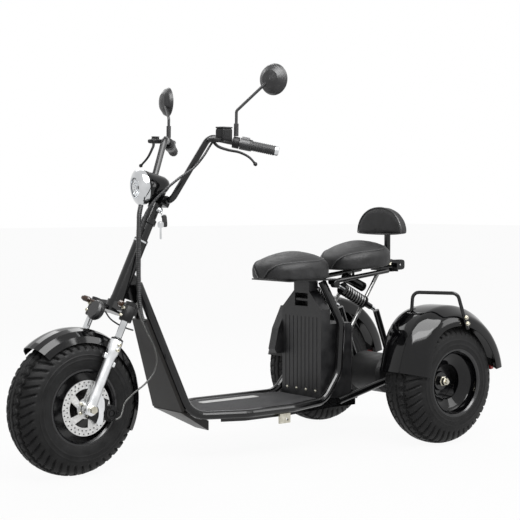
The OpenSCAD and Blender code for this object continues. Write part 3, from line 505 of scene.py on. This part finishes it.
def fat_tyre(name, centre, axle, width, body, node, radius=0.2285, bead=0.124, blocks=44):
    """Section angle a runs from bead to bead and b round the wheel: offset = w/2*k*sin a and radius = (R - w/2) +
    w/2*k*cos a, where k squares the shoulders a little; the grooves and slots are smooth steps taken off the radius."""
    half, mid = width / 2, radius - width / 2
    end = math.acos((bead - mid) / half)
    a, b = np.meshgrid(np.linspace(-end, end, 141), np.linspace(0, 2 * np.pi, 396, endpoint=False), indexing="ij")
    k = np.where(np.cos(a) > 0, (np.abs(np.cos(a)) ** 2.3 + np.abs(np.sin(a)) ** 2.3) ** (-1 / 2.3), 1.0)
    offset, reach = half * k * np.sin(a), mid + half * k * np.cos(a)
    reach = np.minimum(reach, radius)
    x = offset / half

    def notch(d, w, soft):
        """One inside a groove of half width w, falling smoothly to nothing over soft."""
        return np.clip((w + soft - np.abs(d)) / soft, 0, 1)

    fine_deep, groove_deep, slot_deep, sipe_deep, ring_high = 0.006, 0.007, 0.0062, 0.004, 0.0012
    step = blocks * b / (2 * np.pi)
    saw = np.abs(step % 1 - 0.5) * 4 - 1
    rib = (sum(notch(x - c - 0.02 * saw, 0.022, 0.02) for c in (-0.13, 0.13)) * fine_deep
           + sum(notch(x - c - 0.05 * saw * np.sign(x), 0.04, 0.025) for c in (-0.43, 0.43)) * groove_deep)
    shoulder = notch(np.abs(x) - 0.69, 0.21, 0.05)
    slot = notch((step + 0.5 * (np.abs(x) - 0.43) ** 2 * 6) % 1 - 0.5, 0.085, 0.075) * shoulder * slot_deep
    sipe = notch((step + 1.2 * x) % 1 - 0.5, 0.04, 0.06) * notch(np.abs(x) - 0.28, 0.08, 0.05) * sipe_deep
    rings = sum(notch(np.abs(a) - math.radians(c), 0.012, 0.02) for c in (78, 88)) * ring_high
    grow = -(rib + slot + sipe) * np.clip(np.cos(a) * 4, 0, 1) + rings * (np.abs(a) > 1.2)
    reach, offset = reach + grow * np.cos(a), offset + grow * np.sin(a)
    e1, e2, e3 = basis(axle)
    grid = (np.asarray(centre) + offset[..., None] * e3
            + reach[..., None] * (e1 * np.cos(b)[..., None] + e2 * np.sin(b)[..., None]))
    piece = skin(name, grid, rubber, rows_meet=True, columns_meet=True)
    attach(piece, body)
    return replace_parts(piece, node)


front = next(j for j in frame["joints"] if j["name"] == "front_spin")
fat_tyre("front_tread", front["pos_m"], front["axis"], 0.150, "front_wheel", "front_tyre")
for side, _ in sides:
    fat_tyre(f"rear_tread_{side}", rear[side]["pos_m"], (0, 1, 0), 0.184, f"rear_wheel_{side}", f"rear_tyre_{side}")
rim_black = finish("rim_black", (0.006, 0.006, 0.007), (0.016, 0.016, 0.017), 20, (0.14, 0.26), bump=0.03, pitch=200)
dress(rim_black, "front_rim", "rear_rim_left", "rear_rim_right")
liner = [(0.1112, 0.087), (0.1095, 0.07), (0.104, 0.06), (0.094, 0.057), (0.09, 0.056), (0.065, 0.041), (0.0645, 0.036),
         (0.0645, 0.005), (0.0665, 0.005), (0.0665, 0.038), (0.091, 0.053), (0.105, 0.056), (0.1112, 0.066),
         (0.1112, 0.087)]
for side, s in sides:
    dish = joined(f"rim_dish_{side}", [turned(rear[side]["pos_m"], (0, s, 0), liner, 96)], gloss, f"rear_wheel_{side}")
nut = [(0, 0), (0.019, 0), (0.019, 0.003), (0.0155, 0.004), (0.0155, 0.016), (0.013, 0.018), (0.009, 0.018),
       (0.009, 0.024), (0, 0.024)]
for side, s in sides:
    hub = np.array(rear[side]["pos_m"]) + (0, s * 0.0242, 0)
    joined(f"hub_nut_{side}", [turned(hub, (0, s, 0), nut, 48, 6)], zinc, "chassis")
socket_head = [(0, 0), (0.005, 0), (0.005, 0.0075), (0.0042, 0.0085), (0.0026, 0.0085), (0.0026, 0.006), (0, 0.006)]
brushed = finish("brushed", (0.5, 0.5, 0.5), (0.68, 0.68, 0.67), 130, (0.24, 0.4), metal=1.0, bump=0.12, pitch=700)
e1, e2, e3 = basis(front["axis"])
disc_r, disc_y, disc_thick = 0.0898, 0.0743, 0.0044
disc_low = np.array(front["pos_m"]) + e3 * disc_y
b = np.linspace(0, 2 * np.pi, 144, endpoint=False)
outer, bore = np.stack((np.cos(b), np.sin(b)), -1) * disc_r, loop_of(0.0092, 0.0092, 2, 32)
arms, holes, hole_r, window_far, window_near, swirl = 5, 30, 0.0026, 0.063, 0.034, 0.22
windows, drilled = [], []
for i in range(arms):
    t = np.linspace(-0.42, 0.42, 14) + i * 2 * np.pi / arms
    back = t[::-1] + swirl
    far = np.stack((np.cos(t), np.sin(t)), -1) * window_far
    near = np.stack((np.cos(back), np.sin(back)), -1) * window_near
    windows.append(np.concatenate((far, near[2:-2])))
for row, shift in ((0.0835, 0.0), (0.0725, 0.5)):
    for i in range(holes):
        t = 2 * np.pi * (i + shift) / holes
        drilled.append(loop_of(hole_r, hole_r, 2, 12, (row * math.cos(t), row * math.sin(t))))
disc = plate("disc_plate", [outer, bore, *windows, *drilled], disc_low, e1, e2, disc_thick, brushed)
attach(disc, "front_wheel")
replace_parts(disc, "brake_disc")
carrier = [turned(disc_low + 0.026 * (e1 * math.cos(t) + e2 * math.sin(t)), e3, socket_head, 20)
           for t in np.arange(arms) * 2 * np.pi / arms + 0.6]
joined("disc_bolts", carrier, zinc, "front_wheel")

# Fork: chromed upper tubes in a forged lower clamp, and cast alloy legs with pinch bolts and an axle in their feet.
# A pressed fender hangs on lugs from the legs, and a two-piston caliper straddles the disc behind the left leg.
steer = next(j for j in frame["joints"] if j["name"] == "steer")
fork_up = np.array(steer["axis"], float)
fork_left = np.array(front["axis"], float)
fork_ahead = np.cross(fork_left, fork_up)


def on_fork(*point):
    """A place in the steered frame, in millimetres ahead, left and up the steering axis, carried to the vehicle."""
    p = np.asarray(point, float) / 1000
    return np.asarray(steer["pos_m"]) + p[..., :1] * fork_ahead + p[..., 1:2] * fork_left + p[..., 2:] * fork_up


def rounded(centre, axes, half, power=7, count=40):
    """A box with soft edges: point = centre + sum of axis*half*f, where (fx, fy) = c(b)*c(a) and fz = s(a), and c and s
    are the cosine and sine raised to 2/power with their signs kept."""
    a, b = np.meshgrid(np.linspace(-np.pi / 2, np.pi / 2, count), np.linspace(0, 2 * np.pi, 2 * count, endpoint=False),
                       indexing="ij")

    def soft(v):
        return np.sign(v) * np.abs(v) ** (2 / power)

    ca, sa, cb, sb = soft(np.cos(a)), soft(np.sin(a)), soft(np.cos(b)), soft(np.sin(b))
    f = np.stack((ca * cb, ca * sb, sa), -1) * np.asarray(half)
    return np.asarray(centre) + f @ np.asarray(axes, float)


dress(chrome, "stanchions")
alloy = finish("alloy", (0.62, 0.63, 0.64), (0.76, 0.77, 0.78), 24, (0.26, 0.4), metal=1.0, bump=0.1, pitch=600)
leg_x, leg_y, foot_y = 8, 97, 92.2
leg_profile = [(0, -0.02), (0.014, -0.02), (0.0185, -0.014), (0.0195, 0), (0.0185, 0.03), (0.0168, 0.08),
               (0.0165, 0.16), (0.0178, 0.178), (0.0215, 0.19), (0.0218, 0.2), (0.0218, 0.226), (0.0205, 0.235),
               (0, 0.235)]
lug_profile = [(0, -0.0155), (0.018, -0.0155), (0.0205, -0.013), (0.0205, 0.013), (0.018, 0.0155), (0, 0.0155)]
legs = [turned(on_fork(leg_x, s * leg_y, 0), fork_up, leg_profile, 48) for s in (1, -1)]
legs += [turned(on_fork(leg_x, s * leg_y, 0), fork_left, lug_profile, 40) for s in (1, -1)]
legs += [rounded(on_fork(x, s * (leg_y - 2), z), (fork_ahead, fork_left, fork_up), (0.009, 0.008, 0.009), 4)
         for s in (1, -1) for x, z in ((26, 176), (-11, 160))]
fork_legs = joined("fork_legs", legs, alloy, "steering")
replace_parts(fork_legs, "sliders")
boss = [(0.0118, 0), (0.0195, 0), (0.021, 0.002), (0.021, 0.047), (0.0195, 0.049), (0.0118, 0.049), (0.0118, 0)]
bosses = [turned(on_fork(leg_x, s * leg_y, 303), fork_up, boss, 40) for s in (1, -1)]
joined("clamp_bosses", bosses, cast, "steering")
dress(zinc, "front_axle")
dress(gloss, "front_fender")
dress(enamel, "lower_clamp", "bar_clamp")
dress(cast, "caliper")
pinch = [(0, 0), (0.006, 0), (0.006, 0.006), (0.005, 0.007), (0.0032, 0.007), (0.0032, 0.004), (0, 0.004)]
heads = [turned(on_fork(leg_x + 20.8, s * leg_y, h), fork_ahead, pinch, 24) for s in (1, -1) for h in (316, 340)]
heads += [turned(on_fork(leg_x, s * (leg_y + 21.6), h), s * fork_left, pinch, 24) for s in (1, -1) for h in (204, 222)]
joined("pinch_bolts", heads, zinc, "steering")
gaiter = [(0, 0), (0.0195, 0), (0.0203, 0.002), (0.0203, 0.005), (0.018, 0.0065), (0.0128, 0.0075), (0.0128, 0.0095),
          (0, 0.0095)]
seals = [turned(on_fork(leg_x, s * leg_y, 235.2), fork_up, gaiter, 40) for s in (1, -1)]
moulded = finish("moulded", (0.008, 0.008, 0.009), (0.02, 0.02, 0.021), 45, (0.3, 0.48), bump=0.3, pitch=1200)
joined("dust_seals", seals, moulded, "steering")

straddle = [(-16, 50), (-27, 56), (-40, 47), (-54, 24), (-63, -4), (-66, -28), (-58, -36), (-48, -30), (-45, -10),
            (-34, 12), (-16, 26)]
arm = lay(straddle + straddle[:1], 90)[:-1] / 1000
bracket = plate("caliper_bracket", [arm], on_fork(leg_x, foot_y, 0), fork_ahead, fork_up, -0.003, alloy)
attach(bracket, "steering")
cap = [(0, 0.004), (0.008, 0.004), (0.008, 0.001), (0.012, 0.001), (0.012, 0.005), (0.02, 0.005), (0.0205, 0.002),
       (0.0255, 0.002), (0.026, 0), (0.026, -0.003), (0, -0.003)]
piston_x, piston_y, piston_z, bolt_circle = -76, 96.1, 16, 22
fittings = [turned(on_fork(piston_x, piston_y, piston_z), fork_left, cap, 48)]
fittings += [turned(on_fork(piston_x + bolt_circle * math.cos(t), piston_y, piston_z + bolt_circle * math.sin(t)),
                    fork_left, socket_head, 20) for t in (0.9, 2.6, 4.3)]
joined("caliper_cap", fittings, cast, "steering")
race = [(0.0172, 0), (0.0236, 0), (0.0245, 0.001), (0.0245, 0.006), (0.0225, 0.008), (0.0172, 0.008), (0.0172, 0)]
race_cap = turned(on_fork(0, 0, 580.4), fork_up, race, 48)
joined("bearing_cap", [race_cap], chrome, "steering")
band = [(0.0172, 0), (0.0245, 0), (0.0255, 0.001), (0.0255, 0.017), (0.0245, 0.018), (0.0172, 0.018), (0.0172, 0)]
collar = turned(on_fork(0, 0, 650), fork_up, band, 48)
joined("stem_collar", [collar], enamel, "steering")

# Handlebar controls: ribbed rubber grips with bright end caps, moulded switch pods, cast perches with reservoirs and
# blades, and mirrors on bent stems with rubber boots.
dress(moulded, "switch_pods", "mirrors", "horn")
silvered = finish("silvered", (0.72, 0.75, 0.78), (0.8, 0.83, 0.85), 8, (0.01, 0.03), metal=1.0)
dress(silvered, "mirror_glass")
bar_end, bar_shoulder = np.array((-176, 278, 1015)), np.array((-16, 122, 985))
grip_mm, cap_mm, tank_lean = 84, 14, 0.45
grip_rubber = finish("grip_rubber", (0.01, 0.01, 0.0105), (0.024, 0.024, 0.0245), 60, (0.5, 0.7), bump=0.4, pitch=1600)
at = np.linspace(0, grip_mm, 170)
ribs = 16.2 + 0.9 * np.clip(np.sin(2 * np.pi * at / 7.0) * 3, -1, 1) * (at > 8) * (at < grip_mm - 5) + 3.2 * (at < 5)
grip_profile = np.vstack(((0, 0), np.stack((ribs, at), -1), (0, grip_mm))) / 1000
cap_profile = np.array([(0, 0), (15.2, 0), (16.2, 1), (16.2, 6), (15, 11), (11, 13.4), (0, cap_mm)]) / 1000
perch_profile = [(0.0112, 0), (0.0188, 0), (0.0195, 0.001), (0.0195, 0.021), (0.0188, 0.022), (0.0112, 0.022),
                 (0.0112, 0)]
outward = (bar_end - bar_shoulder) / np.linalg.norm(bar_end - bar_shoulder)
sleeves, caps, perches, lids, blades = [], [], [], [], []
blade_lines = {1: [(4, 160, 970), (-23, 176, 954), (-51, 198, 954), (-77, 229, 958), (-98, 264, 949), (-114, 292, 929)],
               -1: [(4, -158, 966), (-22, -182, 962), (-43, -213, 957), (-62, -247, 934), (-72, -287, 902)]}
for s in (1, -1):
    flip = np.array((1, s, 1))
    tip, inner = on_fork(*(bar_end * flip)), on_fork(*((bar_end - outward * grip_mm) * flip))
    sleeves.append(turned(inner, tip - inner, grip_profile, 40))
    caps.append(turned(tip, tip - inner, cap_profile, 40))
    perch = on_fork(*((bar_end - outward * 133) * flip))
    perches.append(turned(perch - (tip - inner) * 0.13, tip - inner, perch_profile, 32))
    tank, bulk = (on_fork(-32, 174, 1001), 1.0) if s > 0 else (on_fork(-20, -180, 980), 0.5)
    upright_axes = np.array((fork_ahead * math.cos(tank_lean) - fork_up * math.sin(tank_lean), s * fork_left,
                             fork_ahead * math.sin(tank_lean) + fork_up * math.cos(tank_lean)))
    perches.append(rounded(tank, upright_axes, np.array((0.022, 0.021, 0.022)) * bulk))
    perches.append(rounded(on_fork(-14, s * 168, 972), upright_axes, (0.024, 0.02, 0.008), 4))
    lids.append(rounded(tank + upright_axes[2] * 0.0235 * bulk, upright_axes,
                        np.array((0.0226, 0.0216, 0.0028)) * bulk))
    along_blade = np.linspace(0, 1, 70)
    knob = 0.0035 * np.exp(-((along_blade - 0.97) / 0.025) ** 2)
    line = lay([on_fork(*p) for p in blade_lines[s]], len(along_blade))
    blades.append(swept(line, 0.0052 - 0.0016 * along_blade + knob, 14))
grip_piece = joined("grip_sleeves", sleeves, grip_rubber, "steering")
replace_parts(grip_piece, "grips")
joined("grip_caps", caps, chrome, "steering")
lever_perches = joined("lever_perches", perches, cast, "steering")
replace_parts(lever_perches, "levers")
joined("tank_lids", lids, moulded, "steering")
joined("lever_blades", blades, cast, "steering")

# Headlight: a pressed bowl on a post over the clamp, a chromed taper ring and a fluted glass.
# It stands turned a little to the right on its post. The indicators below it are smoked amber lenses on short stalks.
lamp_yaw, lamp_tip = math.radians(-14), math.radians(121)
lamp_level = fork_ahead * math.cos(lamp_yaw) + fork_left * math.sin(lamp_yaw)
lamp_axis = lamp_level * math.sin(lamp_tip) + fork_up * math.cos(lamp_tip)
lamp_back = on_fork(-21, 0, 808)
bowl = [(0, 0), (0.01, 0.002), (0.018, 0.006), (0.028, 0.018), (0.034, 0.034), (0.046, 0.062), (0.056, 0.09),
        (0.057, 0.104), (0, 0.104)]
lamp_post = turned(on_fork(-14, 0, 758), fork_up, [(0, 0), (0.007, 0), (0.007, 0.05), (0, 0.05)], 24)
shell = joined("lamp_bowl", [turned(lamp_back, lamp_axis, bowl, 72), lamp_post], gloss, "steering")
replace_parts(shell, "headlight_shell")
taper = [(0.0572, 0.1), (0.06, 0.096), (0.0608, 0.1), (0.061, 0.11), (0.0595, 0.115), (0.055, 0.119), (0.046, 0.1236),
         (0.0385, 0.127), (0.036, 0.1272), (0.0342, 0.126), (0.0342, 0.1042), (0.0572, 0.1042), (0.0572, 0.1)]
bezel = joined("lamp_ring", [turned(lamp_back, lamp_axis, taper, 96)], chrome, "steering")
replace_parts(bezel, "headlight_bezel")
dish = [(0, 0.1052), (0.009, 0.1054), (0.02, 0.107), (0.029, 0.112), (0.0325, 0.118), (0.0338, 0.1215),
        (0.0338, 0.1046), (0, 0.1046)]
reflector = joined("reflector", [turned(lamp_back, lamp_axis, dish, 64)], chrome, "steering")
bulb = [(0, 0.106), (0.006, 0.106), (0.006, 0.115), (0.0045, 0.1185), (0, 0.1195)]
joined("bulb_cap", [turned(lamp_back, lamp_axis, bulb, 32)], moulded, "steering")
clear = finish("clear", (0.93, 0.95, 0.96), (0.98, 0.99, 1.0), 40, (0.0, 0.02))
clear.node_tree.nodes["Principled BSDF"].inputs["Transmission Weight"].default_value = 1.0
at = np.linspace(0, 1, 24)
glass_r = 0.0338
outside = np.stack((glass_r * at, 0.122 + 0.008 * (1 - at ** 2) + 0.0004 * np.sin(at * 60)), -1)
inside = np.stack((glass_r * at[::-1], 0.1205 + 0.008 * (1 - at[::-1] ** 2)), -1)
glass = joined("lamp_glass", [turned(lamp_back, lamp_axis, np.concatenate((outside, inside)), 64)], clear, "steering")
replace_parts(glass, "headlight_lens")
amber = finish("amber", (0.03, 0.012, 0.004), (0.06, 0.022, 0.006), 140, (0.1, 0.2), bump=0.25, pitch=420)
dress(amber, "indicators")

# Hose and looms: a steel-braided brake hose from the caliper up to the stem, a corrugated loom from the headlight
# down to the frame's neck, a taped harness along the left side of the bar, and a thin cable to the horn.
hose_line = lay([(0.600, 0.106, 0.184), (0.583, 0.106, 0.190), (0.570, 0.101, 0.208), (0.560, 0.096, 0.230),
                 (0.530, 0.095, 0.256), (0.474, 0.096, 0.292), (0.445, 0.097, 0.322), (0.433, 0.096, 0.358),
                 (0.440, 0.092, 0.404), (0.462, 0.082, 0.455), (0.480, 0.070, 0.505), (0.487, 0.058, 0.552)], 60)
braid = finish("braid", (0.03, 0.03, 0.03), (0.1, 0.1, 0.095), 500, (0.35, 0.5), metal=0.5, bump=0.5, pitch=2200)
hose_d = 0.006
hose = skin("brake_hose", swept(hose_line, hose_d / 2, 14), braid, columns_meet=True)
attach(hose, "steering")
loom_line = lay([(0.4475, 0.028, 0.872), (0.457, 0.033, 0.845), (0.464, 0.040, 0.800), (0.469, 0.045, 0.740),
                 (0.470, 0.046, 0.670), (0.468, 0.044, 0.600), (0.461, 0.038, 0.545), (0.450, 0.030, 0.508),
                 (0.436, 0.024, 0.482)], 300)
loom_at = np.concatenate(([0], np.cumsum(np.linalg.norm(np.diff(loom_line, axis=0), axis=1))))
loom_d = 0.017
loom_groove = 0.0014 * (np.sin(2 * np.pi * loom_at / 0.0066) < 0)
loom = skin("loom", swept(loom_line, loom_d / 2 - loom_groove, 16), moulded, columns_meet=True)
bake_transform(loom)
harness_line = lay([on_fork(*p) for p in ((-16, 152, 969), (-14, 147, 945), (-12, 141, 915), (-3, 125, 864),
                                          (21, 104, 813), (42, 83, 758), (52, 62, 710), (54, 49, 670), (49, 42, 622))],
                   160)
harness_at = np.linspace(0, 1, 160)
harness_r = 0.0038 + 0.0012 * harness_at + 0.0003 * np.sin(harness_at * 260)
harness = skin("bar_harness", swept(harness_line, harness_r, 12), moulded, columns_meet=True)
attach(harness, "steering")
small_path = ((62, 50, 312), (40, 60, 296), (10, 66, 290), (-30, 66, 291), (-62, 60, 296))
small_line = lay([on_fork(*p) for p in small_path], 60)
small = skin("horn_cable", swept(small_line, 0.0026, 10), moulded, columns_meet=True)
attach(small, "steering")

# Lock and keys: a bright lock barrel on the stem, with a split ring, a flat key and a moulded fob that hang from it.
# The metal is plated, and the fob is the same black plastic as the switches.
lock_at = on_fork(-6, 19, 706)
lock_axis = fork_left * 0.9 - fork_ahead * 0.4
barrel = [(0, 0), (0.011, 0), (0.011, 0.009), (0.0095, 0.011), (0.004, 0.0112), (0.004, 0.014), (0, 0.014)]
joined("lock", [turned(lock_at, lock_axis, barrel, 32)], chrome, "steering")
hang = np.asarray(lock_at) + lock_axis / np.linalg.norm(lock_axis) * 0.013
t = np.linspace(0, 2 * np.pi, 48, endpoint=False)
loop_axes = (np.array((0.6, 0.8, 0.0)), np.array((0.0, 0.0, 1.0)))
ring_line = hang + (0, 0, -0.011) + 0.012 * (np.cos(t)[:, None] * loop_axes[0] + np.sin(t)[:, None] * loop_axes[1])
ring = skin("key_ring", swept(ring_line, 0.0011, 8, ring=True), chrome, rows_meet=True, columns_meet=True)
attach(ring, "steering")
bow = loop_of(0.0105, 0.0105, 2.6, 40)
bow[:, 1] *= np.where(bow[:, 1] < 0, 1.25, 1.0)
shank = np.array([(0.0034, -0.011), (0.0034, -0.047), (0.001, -0.051), (-0.0034, -0.047), (-0.0034, -0.011)])
neck = -0.0112
head = bow[bow[:, 1] >= neck]
order = np.argsort((np.arctan2(head[:, 1], head[:, 0]) + np.pi / 2) % (2 * np.pi))
key_outline = np.concatenate((head[order], shank[::-1]))
key_loops = [key_outline, loop_of(0.003, 0.002, 2, 16, (0, 0.006))]
key = plate("key", key_loops, hang + (0.004, 0, -0.046), (-0.8, 0.6, 0), (0, 0, 1), 0.0022, chrome)
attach(key, "steering")
fob_at, fob_half = hang + (-0.008, 0.006, -0.034), (0.0085, 0.0045, 0.021)
fob_form = rounded(fob_at, ((-0.8, 0.6, 0), (0.6, 0.8, 0), (0.1, 0, 1)), fob_half, 4)
fob = skin("key_fob", fob_form, moulded, columns_meet=True)
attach(fob, "steering")

# Studio: a wide pale floor under a soft white surround, three large lamps, and a fourth that acts on reflections alone.
# The camera stands ahead and to the left of the vehicle, a little above its seats.


def rays(tree, *kinds):
    """A value that is one for rays of the named kinds and nothing for others."""
    path = tree.nodes.new("ShaderNodeLightPath")
    value = path.outputs[kinds[0]]
    for kind in kinds[1:]:
        most = tree.nodes.new("ShaderNodeMath")
        most.operation = "MAXIMUM"
        tree.links.new(value, most.inputs[0])
        tree.links.new(path.outputs[kind], most.inputs[1])
        value = most.outputs[0]
    return value


def mixed(tree, share, first, second, end):
    """Sends a mix of two shaders to an output node, with so large a share of the second."""
    mix = tree.nodes.new("ShaderNodeMixShader")
    tree.links.new(share, mix.inputs["Fac"])
    tree.links.new(first.outputs[0], mix.inputs[1])
    tree.links.new(second.outputs[0], mix.inputs[2])
    tree.links.new(mix.outputs[0], tree.nodes[end].inputs["Surface"])


floor_half = 40.0
ground = np.linspace(-floor_half, floor_half, 9)
floor_grid = np.stack((*np.meshgrid(ground, ground, indexing="ij"), np.full((9, 9), -0.0005)), -1)
floor_paint = finish("floor_paint", (0.86, 0.86, 0.86), (0.9, 0.9, 0.9), 0.6, (0.8, 0.95), gleam=0.1)
tree = floor_paint.node_tree
lit = tree.nodes["Principled BSDF"]
glow = tree.nodes.new("ShaderNodeEmission")
glow.inputs["Color"].default_value = (1, 1, 1, 1)
share = tree.nodes.new("ShaderNodeMath")
share.operation = "MULTIPLY"
share.inputs[1].default_value = 0.94
tree.links.new(rays(tree, "Is Camera Ray", "Is Glossy Ray"), share.inputs[0])
mixed(tree, share.outputs[0], lit, glow, "Material Output")
floor = skin("floor", floor_grid, floor_paint)
if floor.data.polygons[0].normal.z < 0:
    floor.data.flip_normals()
world = bpy.data.worlds.new("surround")
bpy.context.scene.world = world
world.use_nodes = True
tree = world.node_tree
seen = tree.nodes["Background"]
seen.inputs["Color"].default_value = (1, 1, 1, 1)
soft = tree.nodes.new("ShaderNodeBackground")
soft.inputs["Color"].default_value = (1, 1, 1, 1)
soft.inputs["Strength"].default_value = 0.4
mixed(tree, rays(tree, "Is Camera Ray", "Is Glossy Ray", "Is Transmission Ray"), soft, seen, "World Output")
lamps = (("key", (1.2, 2.4, 3.0), (3.0, 1.2), 58), ("side", (-2.6, 2.6, 2.0), (1.0, 2.2), 30),
         ("back", (-0.6, -2.6, 2.8), (3.0, 1.0), 30), ("sheen", (0.4, 1.6, 3.3), (4.0, 2.4), 290))
for name, spot, size, watts in lamps:
    lamp = bpy.data.lights.new(name, "AREA")
    lamp.shape = "RECTANGLE"
    lamp.size, lamp.size_y = size
    lamp.energy = watts
    holder = bpy.data.objects.new(name, lamp)
    holder.location = spot
    holder.rotation_euler = (Vector((0, 0, 0.5)) - Vector(spot)).to_track_quat("-Z", "Y").to_euler()
    bpy.context.scene.collection.objects.link(holder)
    holder.visible_diffuse = name != "sheen"
frame_px, focal_px = 520, 1301.0
eye = Vector((2.8252, 3.6427, 0.874))
heading, dip = 0.8978, 0.0425
ahead = Vector((-math.cos(heading) * math.cos(dip), -math.sin(heading) * math.cos(dip), -math.sin(dip)))
right = ahead.cross(Vector((0, 0, 1))).normalized()
upright = right.cross(ahead)
camera_data = bpy.data.cameras.new("camera")
camera_data.sensor_width = 36.0
camera_data.lens = 36.0 * focal_px / frame_px
camera = bpy.data.objects.new("camera", camera_data)
camera.matrix_world = Matrix((
    (right.x, upright.x, -ahead.x, eye.x), (right.y, upright.y, -ahead.y, eye.y),
    (right.z, upright.z, -ahead.z, eye.z), (0, 0, 0, 1)))
bpy.context.scene.collection.objects.link(camera)
bpy.context.scene.camera = camera
bpy.context.scene.view_settings.view_transform = "Standard"
